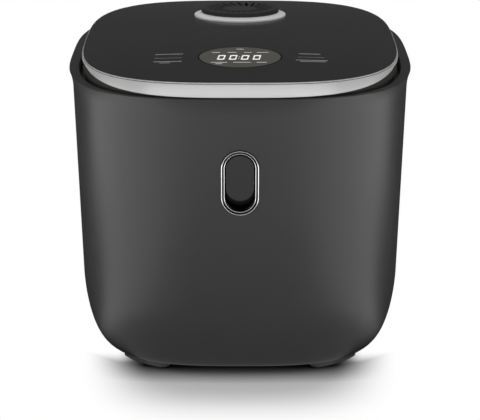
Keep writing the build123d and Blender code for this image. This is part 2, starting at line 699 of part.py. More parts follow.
with BuildPart() as thermal_sensor:
    skin = SENSOR_SKIN
    turn([(0, SENSOR_TOP - STEM_LENGTH), (STEM_RADIUS, SENSOR_TOP - STEM_LENGTH),
          (STEM_RADIUS, SENSOR_TOP - skin), (SENSOR_RADIUS - skin, SENSOR_TOP - skin),
          (SENSOR_RADIUS - skin, SENSOR_UNDER), (SENSOR_RADIUS, SENSOR_UNDER),
          (SENSOR_RADIUS, SENSOR_TOP - skin), (SENSOR_RADIUS - skin, SENSOR_TOP), (0, SENSOR_TOP)])
save(thermal_sensor, "thermal_sensor")

with BuildPart() as sensor_sleeve:
    sleeve_top = HOUSING_FLOOR + SLEEVE_FLANGE
    sleeve_bore = STEM_RADIUS + RUN_GAP
    turn([(sleeve_bore, sleeve_top - SLEEVE_LENGTH), (SLEEVE_RADIUS, sleeve_top - SLEEVE_LENGTH),
          (SLEEVE_RADIUS, HOUSING_FLOOR), (SENSOR_SPRING_RADIUS + 2 * SENSOR_WIRE, HOUSING_FLOOR),
          (SENSOR_SPRING_RADIUS + 2 * SENSOR_WIRE, sleeve_top), (sleeve_bore, sleeve_top)])
save(sensor_sleeve, "sensor_sleeve")

with BuildPart() as sensor_spring:
    spring_foot = sleeve_top + SENSOR_WIRE + TRIM_GAP
    spring_run = SENSOR_TOP - SENSOR_SKIN - SENSOR_WIRE - TRIM_GAP - spring_foot
    coil(spring_run / SENSOR_TURNS, spring_run, SENSOR_SPRING_RADIUS, SENSOR_WIRE,
         (0, 0, spring_foot), (0, 0, 1))
save(sensor_spring, "sensor_spring")

# ---------------------------------------------------------------- pot
with BuildPart() as inner_pot:
    with BuildSketch(Plane.XZ):
        with BuildLine():
            Polyline((0, POT_UNDER), (POT_RADIUS, POT_UNDER), (POT_RADIUS, FRAME_TOP),
                     (POT_FLANGE_RADIUS, FRAME_TOP), (POT_FLANGE_RADIUS, POT_TOP),
                     (POT_RADIUS - POT_WALL, POT_TOP), (POT_RADIUS - POT_WALL, POT_UNDER + POT_BASE),
                     (0, POT_UNDER + POT_BASE), close=True)
        make_face()
        outer_corner = [v for v in vertices() if abs(v.X - POT_RADIUS) + abs(v.Y - POT_UNDER) < 0.01]
        fillet(outer_corner, POT_ROUND)
        inner_corner = [v for v in vertices()
                        if abs(v.X - POT_RADIUS + POT_WALL) + abs(v.Y - POT_UNDER - POT_BASE) < 0.01]
        fillet(inner_corner, POT_ROUND - POT_BASE)
    revolve(axis=Axis.Z)
    fillet(inner_pot.edges().filter_by(GeomType.CIRCLE).group_by(SortBy.RADIUS)[-1], POT_FLANGE / 3)
save(inner_pot, "inner_pot")

# ---------------------------------------------------------------- power board and inlet
BOARD_TOP = BOARD_UNDER + BOARD

with BuildPart() as power_board:
    with BuildSketch(Plane.XY.offset(BOARD_UNDER)):
        Rectangle(POWER_BOARD_X, POWER_BOARD_Y)
        with Locations(*BOARD_CORNERS):
            Circle(SCREW_RADIUS + FIT_GAP, mode=Mode.SUBTRACT)
    extrude(amount=BOARD)
    with BuildSketch(Plane.XY.offset(BOARD_TOP)):
        with Locations((-POWER_BOARD_X / 4, POWER_BOARD_Y / 8)):
            Rectangle(26, 22)
    extrude(amount=18)
    with BuildSketch(Plane.XY.offset(BOARD_TOP)):
        with Locations((POWER_BOARD_X / 12, POWER_BOARD_Y / 6), (POWER_BOARD_X / 12, -POWER_BOARD_Y / 6)):
            Rectangle(19, 15)
    extrude(amount=15)
    with BuildSketch(Plane.XY.offset(BOARD_TOP)):
        with Locations((POWER_BOARD_X / 3.4, POWER_BOARD_Y / 6), (POWER_BOARD_X / 3.4, -POWER_BOARD_Y / 6)):
            Circle(6)
    extrude(amount=14)
save(power_board, "power_board")

with BuildPart() as board_screws:
    screws(BOARD_CORNERS, BOARD_TOP, 1, SCREW_LENGTH / 1.5)
save(board_screws, "board_screws")

with BuildPart() as power_inlet:
    with BuildSketch(INLET_PLANE):
        RectangleRounded(INLET_FLANGE_WIDTH, INLET_FLANGE_TALL, SOCKET_CORNER)
        with Locations((-INLET_SCREW_X, 0), (INLET_SCREW_X, 0)):
            Circle(SCREW_RADIUS + FIT_GAP, mode=Mode.SUBTRACT)
    extrude(amount=INLET_FLANGE)
    with BuildSketch(INLET_PLANE):
        Rectangle(INLET_WIDTH, INLET_TALL)
    extrude(amount=-INLET_DEPTH)
    with BuildSketch(INLET_PLANE.offset(INLET_FLANGE)):
        RectangleRounded(SOCKET_WIDTH, SOCKET_TALL, SOCKET_CORNER)
    extrude(amount=-SOCKET_DEPTH, mode=Mode.SUBTRACT)
    with BuildSketch(INLET_PLANE.offset(INLET_FLANGE - SOCKET_DEPTH)):
        with Locations((-PRONG_PITCH, -PRONG_THICK), (0, PRONG_THICK), (PRONG_PITCH, -PRONG_THICK)):
            Rectangle(PRONG_THICK, PRONG_WIDE)
    extrude(amount=PRONG_LENGTH)
save(power_inlet, "power_inlet")

with BuildPart() as inlet_screws:
    with BuildSketch(INLET_PLANE.offset(INLET_FLANGE)):
        with Locations((-INLET_SCREW_X, 0), (INLET_SCREW_X, 0)):
            Circle(SCREW_HEAD_RADIUS)
    extrude(amount=SCREW_HEAD_HEIGHT / 2)
    with BuildSketch(INLET_PLANE.offset(INLET_FLANGE)):
        with Locations((-INLET_SCREW_X, 0), (INLET_SCREW_X, 0)):
            Circle(SCREW_RADIUS)
    extrude(amount=-SCREW_LENGTH)
    with BuildSketch(INLET_PLANE.offset(INLET_FLANGE + SCREW_HEAD_HEIGHT / 2)):
        with Locations((-INLET_SCREW_X, 0), (INLET_SCREW_X, 0)):
            Rectangle(SCREW_HEAD_RADIUS, SCREW_CROSS)
            Rectangle(SCREW_CROSS, SCREW_HEAD_RADIUS)
    extrude(amount=-SCREW_HEAD_HEIGHT / 4, mode=Mode.SUBTRACT)
save(inlet_screws, "inlet_screws")

# ---------------------------------------------------------------- hinge on the frame
HINGE_AXIS_YZ = (HINGE_Y, HINGE_Z)
PLATE_TOP = FRAME_TOP + HINGE_PLATE

with BuildPart() as hinge_bracket:
    with BuildSketch(Plane.XY.offset(FRAME_TOP)):
        with Locations((0, HINGE_Y + (HINGE_PLATE_BACK - HINGE_PLATE_FRONT) / 2)):
            Rectangle(2 * HINGE_PLATE_X, HINGE_PLATE_FRONT + HINGE_PLATE_BACK)
    extrude(amount=HINGE_PLATE)
    for side in (-1, 1):
        with BuildSketch(Plane.YZ.offset(side * EAR_X - EAR_WIDE / 2)):
            with Locations(HINGE_AXIS_YZ):
                Circle(HINGE_KNUCKLE)
            with Locations((HINGE_Y, (HINGE_Z + FRAME_TOP) / 2)):
                Rectangle(2 * HINGE_KNUCKLE, HINGE_Z - FRAME_TOP)
        extrude(amount=EAR_WIDE)
    with BuildSketch(Plane.YZ.offset(-HINGE_PLATE_X)):
        with Locations(HINGE_AXIS_YZ):
            Circle(HINGE_PIN_RADIUS + RUN_GAP)
    extrude(amount=2 * HINGE_PLATE_X, mode=Mode.SUBTRACT)
    with BuildSketch(Plane.XY.offset(FRAME_TOP)):
        with Locations(*HINGE_SCREWS):
            Circle(SCREW_RADIUS + FIT_GAP)
    extrude(amount=HINGE_PLATE, mode=Mode.SUBTRACT)
    chamfer(hinge_bracket.edges().filter_by(GeomType.CIRCLE).filter_by(
        lambda edge: edge.center().Z > PLATE_TOP - 0.01 and abs(edge.arc_center.X) < HINGE_SCREW_X + 1),
        HINGE_PLATE * 0.7)
save(hinge_bracket, "hinge_bracket")

with BuildPart() as hinge_screws:
    for x, y in HINGE_SCREWS:
        shank = SCREW_RADIUS
        top = PLATE_TOP - TRIM_GAP
        turn([(0, top), (shank + HINGE_PLATE * 0.7, top), (shank, top - HINGE_PLATE * 0.7),
              (shank, top - SCREW_LENGTH), (0, top - SCREW_LENGTH)], Plane((x, y, 0)))
    with BuildSketch(Plane.XY.offset(PLATE_TOP - TRIM_GAP)):
        with Locations(*HINGE_SCREWS):
            Rectangle(SCREW_HEAD_RADIUS, SCREW_CROSS)
            Rectangle(SCREW_CROSS, SCREW_HEAD_RADIUS)
    extrude(amount=-HINGE_PLATE / 2, mode=Mode.SUBTRACT)
save(hinge_screws, "hinge_screws")

with BuildPart() as hinge_pin:
    with BuildSketch(Plane.YZ.offset(-EAR_X - EAR_WIDE)):
        with Locations(HINGE_AXIS_YZ):
            Circle(HINGE_PIN_RADIUS)
    extrude(amount=2 * (EAR_X + EAR_WIDE))
    chamfer(hinge_pin.edges().filter_by(GeomType.CIRCLE), HINGE_PIN_RADIUS / 5)
save(hinge_pin, "hinge_pin")

with BuildPart() as hinge_spring:
    coil(HINGE_SPRING_PITCH, 2 * HINGE_SPRING_X, HINGE_SPRING_RADIUS, HINGE_WIRE,
         (-HINGE_SPRING_X, HINGE_Y, HINGE_Z), (1, 0, 0))
save(hinge_spring, "hinge_spring")

# ---------------------------------------------------------------- release button
MOUTH_WIDTH = CUP_WIDTH - 2 * GROOVE
MOUTH_TALL = CUP_TALL - 2 * GROOVE
INSIDE_WIDTH = MOUTH_WIDTH - 2 * TRIM_RING_WALL
INSIDE_TALL = MOUTH_TALL - 2 * TRIM_RING_WALL
PADDLE_UP = INSIDE_TALL / 2 - PADDLE_TOP_GAP - PADDLE_TALL / 2
BUTTON_REACH = (LATCH_Y - LEVER_THICK / 2 - STEM_PLAY) - (BUTTON_PLANE.origin.Y - DRAFT * PADDLE_UP)

with BuildPart() as button_bezel:
    with BuildSketch(BUTTON_PLANE):
        pill(BEZEL_WIDTH, BEZEL_TALL)
    extrude(amount=BEZEL_PROUD)
    with BuildSketch(BUTTON_PLANE):
        pill(BEZEL_WIDTH - 2 * BEZEL_WALL, BEZEL_TALL - 2 * BEZEL_WALL)
    extrude(amount=BEZEL_PROUD, mode=Mode.SUBTRACT)
    fillet(button_bezel.faces().sort_by(Axis.Y)[0].edges(), BEZEL_WALL * 0.42)
save(button_bezel, "button_bezel")

with BuildPart() as button_cup:
    with BuildSketch(BUTTON_PLANE.offset(BEZEL_PROUD / 2)):
        pill(CUP_WIDTH, CUP_TALL)
    extrude(amount=-(BEZEL_PROUD / 2 + CUP_DEPTH))
    with BuildSketch(BUTTON_PLANE.offset(BEZEL_PROUD)):
        pill(MOUTH_WIDTH, MOUTH_TALL)
    extrude(amount=-(BEZEL_PROUD + TRIM_RING_DEPTH), mode=Mode.SUBTRACT)
    with BuildSketch(BUTTON_PLANE):
        pill(MOUTH_WIDTH - 2 * CUP_WALL / 3, MOUTH_TALL - 2 * CUP_WALL / 3)
    extrude(amount=-(CUP_DEPTH - CUP_FLOOR), mode=Mode.SUBTRACT)
    with BuildSketch(BUTTON_PLANE):
        with Locations((0, PADDLE_UP)):
            Circle(BUTTON_STEM_RADIUS + FIT_GAP)
    extrude(amount=-2 * CUP_DEPTH, mode=Mode.SUBTRACT)
save(button_cup, "button_cup")

with BuildPart() as button_trim:
    with BuildSketch(BUTTON_PLANE.offset(-TRIM_RING_DEPTH)):
        pill(MOUTH_WIDTH, MOUTH_TALL)
    extrude(amount=TRIM_RING_DEPTH + BEZEL_PROUD / 2)
    with BuildSketch(BUTTON_PLANE.offset(-TRIM_RING_DEPTH)):
        pill(INSIDE_WIDTH, INSIDE_TALL)
    extrude(amount=TRIM_RING_DEPTH + BEZEL_PROUD / 2, mode=Mode.SUBTRACT)
    fillet(button_trim.faces().sort_by(Axis.Y)[0].edges(), TRIM_RING_WALL * 0.4)
save(button_trim, "button_trim")

with BuildPart() as release_button:
    with BuildSketch(BUTTON_PLANE):
        with Locations((0, PADDLE_UP)):
            pill(PADDLE_WIDTH, PADDLE_TALL)
    extrude(amount=-PADDLE_THICK)
    fillet(release_button.faces().sort_by(Axis.Y)[0].edges(), PADDLE_EDGE)
    with BuildSketch(BUTTON_PLANE.offset(-PADDLE_THICK)):
        with Locations((0, PADDLE_UP)):
            Circle(BUTTON_STEM_RADIUS)
    extrude(amount=-(BUTTON_REACH - PADDLE_THICK))
save(release_button, "release_button")

# ---------------------------------------------------------------- latch
LATCH_AXIS_YZ = (LATCH_Y, LATCH_Z)
CLAW_TOP = LATCH_Z + LEVER_UP
LEVER_FOOT = LATCH_Z - LEVER_DOWN
BRACKET_REAR = LATCH_Y + BRACKET_BACK

with BuildPart() as latch_lever:
    with BuildSketch(Plane.YZ.offset(-LEVER_WIDE / 2)):
        with Locations((LATCH_Y, (CLAW_TOP + LEVER_FOOT) / 2)):
            Rectangle(LEVER_THICK, CLAW_TOP - LEVER_FOOT)
        with Locations(((LATCH_Y + CLAW_TIP) / 2, CLAW_TOP - CLAW_THICK / 2)):
            Rectangle(CLAW_TIP - LATCH_Y, CLAW_THICK)
    extrude(amount=LEVER_WIDE)
    with BuildSketch(Plane.YZ.offset(-BRACKET_X + BRACKET_WALL + HUB_GAP)):
        with Locations(LATCH_AXIS_YZ):
            Circle(LEVER_HUB)
    extrude(amount=2 * (BRACKET_X - BRACKET_WALL - HUB_GAP))
    with BuildSketch(Plane.YZ.offset(-BRACKET_X)):
        with Locations(LATCH_AXIS_YZ):
            Circle(LATCH_PIN_RADIUS + RUN_GAP)
    extrude(amount=2 * BRACKET_X, mode=Mode.SUBTRACT)
save(latch_lever, "latch_lever")

with BuildPart() as latch_pin:
    with BuildSketch(Plane.YZ.offset(-BRACKET_X - BRACKET_WALL)):
        with Locations(LATCH_AXIS_YZ):
            Circle(LATCH_PIN_RADIUS)
    extrude(amount=2 * (BRACKET_X + BRACKET_WALL))
    chamfer(latch_pin.edges().filter_by(GeomType.CIRCLE), LATCH_PIN_RADIUS / 5)
save(latch_pin, "latch_pin")

with BuildPart() as latch_bracket:
    foot = LATCH_Z - BRACKET_FOOT
    front = LATCH_Y - BRACKET_FRONT
    for low_x in (-BRACKET_X, BRACKET_X - BRACKET_WALL):
        with BuildSketch(Plane.YZ.offset(low_x)):
            with BuildLine():
                Polyline((front, LATCH_Z - LEVER_HUB), (front, FRAME_UNDER), (BRACKET_REAR, FRAME_UNDER),
                         (BRACKET_REAR, foot), (BRACKET_REAR - BRACKET_FRONT, foot), close=True)
            make_face()
        extrude(amount=BRACKET_WALL)
    with BuildSketch(Plane.XZ.offset(-BRACKET_REAR)):
        with Locations((0, (foot + FRAME_UNDER) / 2)):
            Rectangle(2 * BRACKET_X, FRAME_UNDER - foot)
    extrude(amount=BRACKET_WALL)
    with BuildSketch(Plane.YZ.offset(-BRACKET_X)):
        with Locations(LATCH_AXIS_YZ):
            Circle(LATCH_PIN_RADIUS + RUN_GAP)
    extrude(amount=2 * BRACKET_X, mode=Mode.SUBTRACT)
save(latch_bracket, "latch_bracket")

with BuildPart() as latch_spring:
    spring_low = LEVER_WIDE / 2 + LATCH_WIRE + FIT_GAP
    spring_high = BRACKET_X - BRACKET_WALL - HUB_GAP - LATCH_WIRE
    coil(LATCH_SPRING_PITCH, spring_high - spring_low, LEVER_HUB + LATCH_WIRE + FIT_GAP, LATCH_WIRE,
         (spring_low, LATCH_Y, LATCH_Z), (1, 0, 0))
save(latch_spring, "latch_spring")

# ---------------------------------------------------------------- lid shell
BASE_WALL = TRIM_WALL + TRIM_GAP
STEP_UP = LID_EDGE - PANEL
HOOK_PLACE = (0, HOOK_FRONT + HOOK_THICK / 2)
VENT_FOOT = (VENT_PLANE.origin.Z - LID_UNDER) * VENT_SLOPE
VENT_FLOOR_Y = VENT_Y - VENT_FOOT
SKIRT_HALF_DEPTH = band_outline(BAND_FOOT, BASE_WALL)[2]
LID_CORNERS = corners(LID_SCREW_X, LID_SCREW_Y)
CONTROL_POSTS = [(x, DISPLAY_Y + y) for x, y in corners(
    CONTROL_BOARD_X / 2 - BOARD_POST_MARGIN, CONTROL_BOARD_Y / 2 - BOARD_POST_MARGIN)]
CONTROL_UNDER = RIM_HEIGHT + CONTROL_BOARD_UP
LUG_FRONT = HINGE_Y - HINGE_PLATE_FRONT - LID_WALL
LUG_BACK = band_outline(STEP_UP, BASE_WALL + LID_WALL / 2)[2]
LUG_TOP = HINGE_Z + HINGE_KNUCKLE


def skirt_outlines(wall):
    """Outlines of the lid shell's wall, from the panel's step down to its underside."""
    low = band_outline(BAND_FOOT, wall)
    sink = LID_SINK_TAPER * (BAND_FOOT + LID_SINK)
    return [band_outline(STEP_UP, wall), low, (LID_UNDER, low[1] - sink, low[2] - sink)]


with BuildPart() as lid_base:
    loft_ovals(skirt_outlines(BASE_WALL), ruled=True)
    step, low, under = skirt_outlines(BASE_WALL + LID_WALL)
    loft_ovals([(LID_STEP + 1, step[1], step[2]), low, (LID_INSIDE, low[1], low[2])], Mode.SUBTRACT, ruled=True)
    with BuildSketch(Plane.XY.offset(LID_INSIDE)):
        with Locations(*LID_CORNERS):
            Circle(BOSS_RADIUS)
    extrude(amount=LID_STEP - LID_INSIDE)
    with BuildSketch(Plane.XY.offset(LID_INSIDE)):
        with Locations(*CONTROL_POSTS):
            Circle(BOARD_POST_RADIUS)
    extrude(amount=CONTROL_UNDER - LID_INSIDE)
    with BuildSketch(Plane.XY.offset(LID_UNDER)):
        with Locations((0, (HINGE_Y - HINGE_PLATE_FRONT + SKIRT_HALF_DEPTH - LID_WALL) / 2)):
            Rectangle(2 * HINGE_WINDOW_X, SKIRT_HALF_DEPTH - LID_WALL - HINGE_Y + HINGE_PLATE_FRONT)
    extrude(amount=LID_FLOOR, mode=Mode.SUBTRACT)
    for side in (-1, 1):
        with BuildSketch(Plane.YZ.offset(side * LUG_X - LUG_WIDE / 2)):
            with Locations(((LUG_FRONT + LUG_BACK) / 2, (LID_UNDER + LUG_TOP) / 2)):
                Rectangle(LUG_BACK - LUG_FRONT, LUG_TOP - LID_UNDER)
        extrude(amount=LUG_WIDE)
        with BuildSketch(Plane.XY.offset(LID_UNDER)):
            with Locations((side * EAR_X, HINGE_Y + HINGE_KNUCKLE + LID_WALL)):
                Rectangle(EAR_WIDE + 2 * EAR_SLOT, 4 * LID_WALL)
        extrude(amount=LID_STEP - LID_UNDER, mode=Mode.SUBTRACT)
    with BuildSketch(Plane.YZ.offset(-LUG_X - LUG_WIDE)):
        with Locations(HINGE_AXIS_YZ):
            Circle(HINGE_PIN_RADIUS + RUN_GAP)
    extrude(amount=2 * (LUG_X + LUG_WIDE), mode=Mode.SUBTRACT)
    with BuildSketch(Plane.XY.offset(LID_UNDER)):
        with Locations((0, VENT_FLOOR_Y)):
            Circle(VENT_TUBE_RADIUS + VENT_TUBE_GAP)
        with Locations(HOOK_PLACE):
            Rectangle(HOOK_WIDE + 2 * TRIM_GAP, HOOK_THICK + 2 * TRIM_GAP)
    extrude(amount=LID_FLOOR, mode=Mode.SUBTRACT)
    with BuildSketch(Plane.XY.offset(LID_UNDER)):
        with Locations(*LID_CORNERS):
            Circle(SCREW_RADIUS + FIT_GAP)
    extrude(amount=LID_STEP - LID_UNDER, mode=Mode.SUBTRACT)
save(lid_base, "lid_base")

with BuildPart() as lid_trim:
    loft_ovals([band_outline(BAND_FOOT), band_outline(LID_EDGE - BEVEL_HEIGHT)], ruled=True)
    edge_outline = (RIM_HEIGHT + LID_EDGE, LID_HALF_WIDTH + TRIM_GAP * 2, LID_HALF_DEPTH + TRIM_GAP * 2)
    loft_ovals([band_outline(LID_EDGE - BEVEL_HEIGHT), edge_outline], ruled=True)
    loft_ovals([band_outline(BAND_FOOT, TRIM_WALL), band_outline(STEP_UP, TRIM_WALL)],
               Mode.SUBTRACT, ruled=True)
    with BuildSketch(Plane.XY.offset(LID_STEP)):
        oval(LID_HALF_WIDTH + TRIM_GAP, LID_HALF_DEPTH + TRIM_GAP)
    extrude(amount=PANEL, mode=Mode.SUBTRACT)
    rise_from = BAND_LEVEL - band_outline(BAND_FOOT)[2]
    level = RIM_HEIGHT + LID_EDGE - BAND_LEAST
    level_from = rise_from + (LID_EDGE - BAND_LEAST - BAND_FOOT) / BAND_RISE
    with BuildSketch(Plane.YZ.offset(-HALF_WIDTH)):
        with BuildLine():
            Polyline((rise_from, RIM_HEIGHT + BAND_FOOT), (level_from, level), (HALF_DEPTH, level),
                     (HALF_DEPTH, LID_UNDER), (rise_from, LID_UNDER), close=True)
        make_face()
    extrude(amount=WIDTH, mode=Mode.SUBTRACT)
save(lid_trim, "lid_trim")

with BuildPart() as lid_panel:
    with BuildSketch(Plane.XY.offset(LID_STEP)):
        oval(LID_HALF_WIDTH, LID_HALF_DEPTH)
    extrude(amount=PANEL)
    loft_ovals(crown_outlines())
    loft_ovals(crown_outlines(PANEL, PANEL_LIP), Mode.SUBTRACT)
    with BuildSketch(Plane.XY.offset(RIM_HEIGHT)):
        with Locations((0, DISPLAY_Y)):
            Circle(DISPLAY_RADIUS + DISPLAY_GAP)
    extrude(amount=2 * (LID_EDGE + CROWN), mode=Mode.SUBTRACT)
    with BuildSketch(VENT_PLANE.offset(-VENT_SEAT)):
        Circle(VENT_RING_RADIUS + TRIM_GAP)
    extrude(amount=CROWN, mode=Mode.SUBTRACT)
    with BuildSketch(VENT_PLANE.offset(-CROWN)):
        Circle(VENT_TUBE_RADIUS + TRIM_GAP)
    extrude(amount=2 * CROWN, mode=Mode.SUBTRACT)
save(lid_panel, "lid_panel")

with BuildPart() as lid_screws:
    screws(LID_CORNERS, LID_UNDER, -1)
save(lid_screws, "lid_screws")

# ---------------------------------------------------------------- display
with BuildPart() as display_window:
    with BuildSketch(Plane.XY.offset(RIM_HEIGHT)):
        with Locations((0, DISPLAY_Y)):
            Circle(DISPLAY_RADIUS)
    extrude(amount=2 * (LID_EDGE + CROWN))
    loft_ovals(crown_outlines(), Mode.INTERSECT)
    loft_ovals(crown_outlines(PANEL, PANEL_LIP), Mode.SUBTRACT)
save(display_window, "display_window")

with BuildPart() as control_board:
    with BuildSketch(Plane.XY.offset(CONTROL_UNDER)):
        with Locations((0, DISPLAY_Y)):
            Rectangle(CONTROL_BOARD_X, CONTROL_BOARD_Y)
    extrude(amount=BOARD)
save(control_board, "control_board")

with BuildPart() as display_module:
    with BuildSketch(Plane.XY.offset(CONTROL_UNDER + BOARD)):
        with Locations((0, DISPLAY_Y)):
            Circle(MODULE_RADIUS)
    extrude(amount=MODULE_HEIGHT)
save(display_module, "display_module")

# ---------------------------------------------------------------- steam vent
SPIGOT_FOOT = TRIM_GAP
RING_INNER = VENT_SPIGOT_RADIUS + FIT_GAP

with BuildPart() as vent_ring:
    turn([(RING_INNER, -VENT_SEAT), (VENT_RING_RADIUS, -VENT_SEAT), (VENT_RING_RADIUS, VENT_RING_EDGE),
          (VENT_CAP_RADIUS + FIT_GAP, VENT_RING_TOP), (RING_INNER, VENT_RING_TOP)], VENT_PLANE)
save(vent_ring, "vent_ring")

with BuildPart() as vent_body:
    tube_foot = LID_UNDER - VENT_PLANE.origin.Z + VENT_SEAL_WALL + VENT_TUBE_RADIUS * VENT_SLOPE
    bore = VENT_TUBE_RADIUS - VENT_TUBE_WALL
    turn([(VENT_TUBE_HOLE, tube_foot), (VENT_TUBE_RADIUS, tube_foot), (VENT_TUBE_RADIUS, -VENT_SEAT),
          (VENT_SPIGOT_RADIUS, -VENT_SEAT), (VENT_SPIGOT_RADIUS, 0), (bore, 0),
          (bore, tube_foot + VENT_TUBE_WALL), (VENT_TUBE_HOLE, tube_foot + VENT_TUBE_WALL)], VENT_PLANE)
save(vent_body, "vent_body")

with BuildPart() as vent_seal:
    seal_plane = VENT_PLANE.offset(tube_foot - VENT_SEAL_WALL / 2)
    ring(VENT_TUBE_HOLE, VENT_TUBE_RADIUS - VENT_TUBE_WALL, -VENT_SEAL_WALL / 2, VENT_SEAL_WALL / 2, seal_plane)
save(vent_seal, "vent_seal")

with BuildPart() as vent_cap:
    wall = VENT_SPIGOT_WALL
    cap_low = VENT_RING_TOP + TRIM_GAP
    cap_side = cap_low + VENT_CAP_SIDE
    cap_top = cap_side + VENT_CAP_CROWN
    turn([(VENT_SPIGOT_RADIUS - wall, SPIGOT_FOOT), (VENT_SPIGOT_RADIUS, SPIGOT_FOOT),
          (VENT_SPIGOT_RADIUS, cap_low), (VENT_CAP_RADIUS, cap_low), (VENT_CAP_RADIUS, cap_side),
          (VENT_CAP_RADIUS - VENT_CAP_CROWN, cap_side + VENT_CAP_CROWN * 0.6), (VENT_CAP_PAD, cap_top),
          (0, cap_top), (0, cap_top - VENT_CAP_TOP), (VENT_CAP_PAD, cap_top - VENT_CAP_TOP),
          (VENT_SPIGOT_RADIUS - wall, cap_side - VENT_CAP_TOP / 2)], VENT_PLANE)
    with BuildSketch(VENT_PLANE.offset(cap_low)):
        with PolarLocations(VENT_HOLE_CIRCLE, VENT_SLOTS):
            SlotOverall(VENT_HOLE_LENGTH, VENT_HOLE_WIDTH)
    extrude(amount=2 * VENT_CAP_CROWN + VENT_CAP_SIDE, mode=Mode.SUBTRACT)
save(vent_cap, "vent_cap")

# ---------------------------------------------------------------- underside of the lid
INNER_LID_TOP = LID_UNDER - INNER_LID_DROP

with BuildPart() as inner_lid:
    with BuildSketch(Plane.XY.offset(INNER_LID_TOP)):
        Circle(INNER_LID_RADIUS)
        with Locations((0, VENT_FLOOR_Y)):
            with PolarLocations(STEAM_HOLE_CIRCLE, 6):
                Circle(STEAM_HOLE_RADIUS, mode=Mode.SUBTRACT)
    extrude(amount=-INNER_LID_THICKNESS)
    with BuildSketch(Plane.XY.offset(INNER_LID_TOP)):
        with PolarLocations(INNER_LID_RADIUS - 2 * BOSS_RADIUS, 3, 30):
            Circle(BOSS_RADIUS / 2)
    extrude(amount=INNER_LID_DROP)
save(inner_lid, "inner_lid")

with BuildPart() as lid_gasket:
    low = POT_TOP + GASKET_GAP
    middle = (GASKET_INNER + GASKET_OUTER) / 2
    turn([(GASKET_INNER, LID_UNDER), (GASKET_INNER, (low + LID_UNDER) / 2), (middle, low),
          (GASKET_OUTER, (low + LID_UNDER) / 2), (GASKET_OUTER, LID_UNDER)])
save(lid_gasket, "lid_gasket")

NOSE_TOP = CLAW_TOP - CLAW_THICK - HOOK_DROP

with BuildPart() as lid_hook:
    with BuildSketch(Plane.YZ.offset(-HOOK_WIDE / 2)):
        with BuildLine():
            Polyline((HOOK_FRONT, NOSE_TOP - HOOK_NOSE), (HOOK_NOSE_Y, NOSE_TOP), (HOOK_FRONT, NOSE_TOP),
                     (HOOK_FRONT, LID_INSIDE), (HOOK_FRONT - HOOK_FLANGE, LID_INSIDE),
                     (HOOK_FRONT - HOOK_FLANGE, LID_INSIDE + HOOK_THICK),
                     (HOOK_FRONT + HOOK_THICK, LID_INSIDE + HOOK_THICK),
                     (HOOK_FRONT + HOOK_THICK, NOSE_TOP - HOOK_NOSE), close=True)
        make_face()
    extrude(amount=HOOK_WIDE)
save(lid_hook, "lid_hook")
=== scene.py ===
"""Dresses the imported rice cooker: smooth pieces, finishes, floor, lamps and camera."""
import json
import math

import bpy
from mathutils import Matrix, Vector

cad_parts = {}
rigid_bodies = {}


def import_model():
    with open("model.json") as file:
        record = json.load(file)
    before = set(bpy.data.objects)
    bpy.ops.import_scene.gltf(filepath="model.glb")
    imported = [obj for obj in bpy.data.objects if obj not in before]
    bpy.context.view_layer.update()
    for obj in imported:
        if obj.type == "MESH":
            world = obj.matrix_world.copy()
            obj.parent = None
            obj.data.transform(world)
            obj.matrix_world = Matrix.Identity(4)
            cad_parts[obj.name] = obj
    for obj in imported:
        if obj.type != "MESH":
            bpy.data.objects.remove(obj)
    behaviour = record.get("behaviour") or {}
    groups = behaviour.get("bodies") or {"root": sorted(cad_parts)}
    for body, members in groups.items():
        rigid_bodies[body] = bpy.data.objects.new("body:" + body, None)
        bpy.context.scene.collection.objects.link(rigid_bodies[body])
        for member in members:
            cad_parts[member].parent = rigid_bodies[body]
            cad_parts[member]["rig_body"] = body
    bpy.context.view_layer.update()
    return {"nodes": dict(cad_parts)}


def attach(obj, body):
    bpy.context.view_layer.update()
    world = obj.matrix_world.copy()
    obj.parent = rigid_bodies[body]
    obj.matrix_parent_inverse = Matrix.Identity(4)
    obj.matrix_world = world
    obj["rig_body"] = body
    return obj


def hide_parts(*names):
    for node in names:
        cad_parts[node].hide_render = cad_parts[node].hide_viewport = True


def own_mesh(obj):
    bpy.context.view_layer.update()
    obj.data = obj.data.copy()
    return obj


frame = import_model()

bl_info = {
    "name": "Rice cooker dressing",
    "version": (1, 0, 0),
    "blender": (4, 5, 0),
    "location": "View3D > Sidebar > Rice cooker",
    "description": "Models and finishes the pieces of an oval rice cooker round its packed frame",
    "category": "Object",
}

MM = 0.001
POWER = 3.17                 # how square the rounded outlines are
SIDES = 160                  # points round a large outline
ROUND_SIDES = 128            # points round a lathed piece
PILL_SIDES = 96              # points round an upright pill
FINE_SIDES = 48              # points round the button's stem
BODY_OF = {name: node["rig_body"] for name, node in frame["nodes"].items()}


# ------------ sizes and colours
class CaseSizes(bpy.types.PropertyGroup):
    """Sizes of the case."""
    half_width: bpy.props.FloatProperty(
        name="Half width", description="Half of the rim's width", default=0.135, unit="LENGTH")
    half_depth: bpy.props.FloatProperty(
        name="Half depth", description="Half of the rim's depth", default=0.1664, unit="LENGTH")
    rim: bpy.props.FloatProperty(
        name="Rim", description="Height of the rim", default=0.224, unit="LENGTH")
    colour: bpy.props.FloatVectorProperty(
        name="Colour", description="Colour of the case", subtype="COLOR",
        default=(0.025, 0.025, 0.0254))


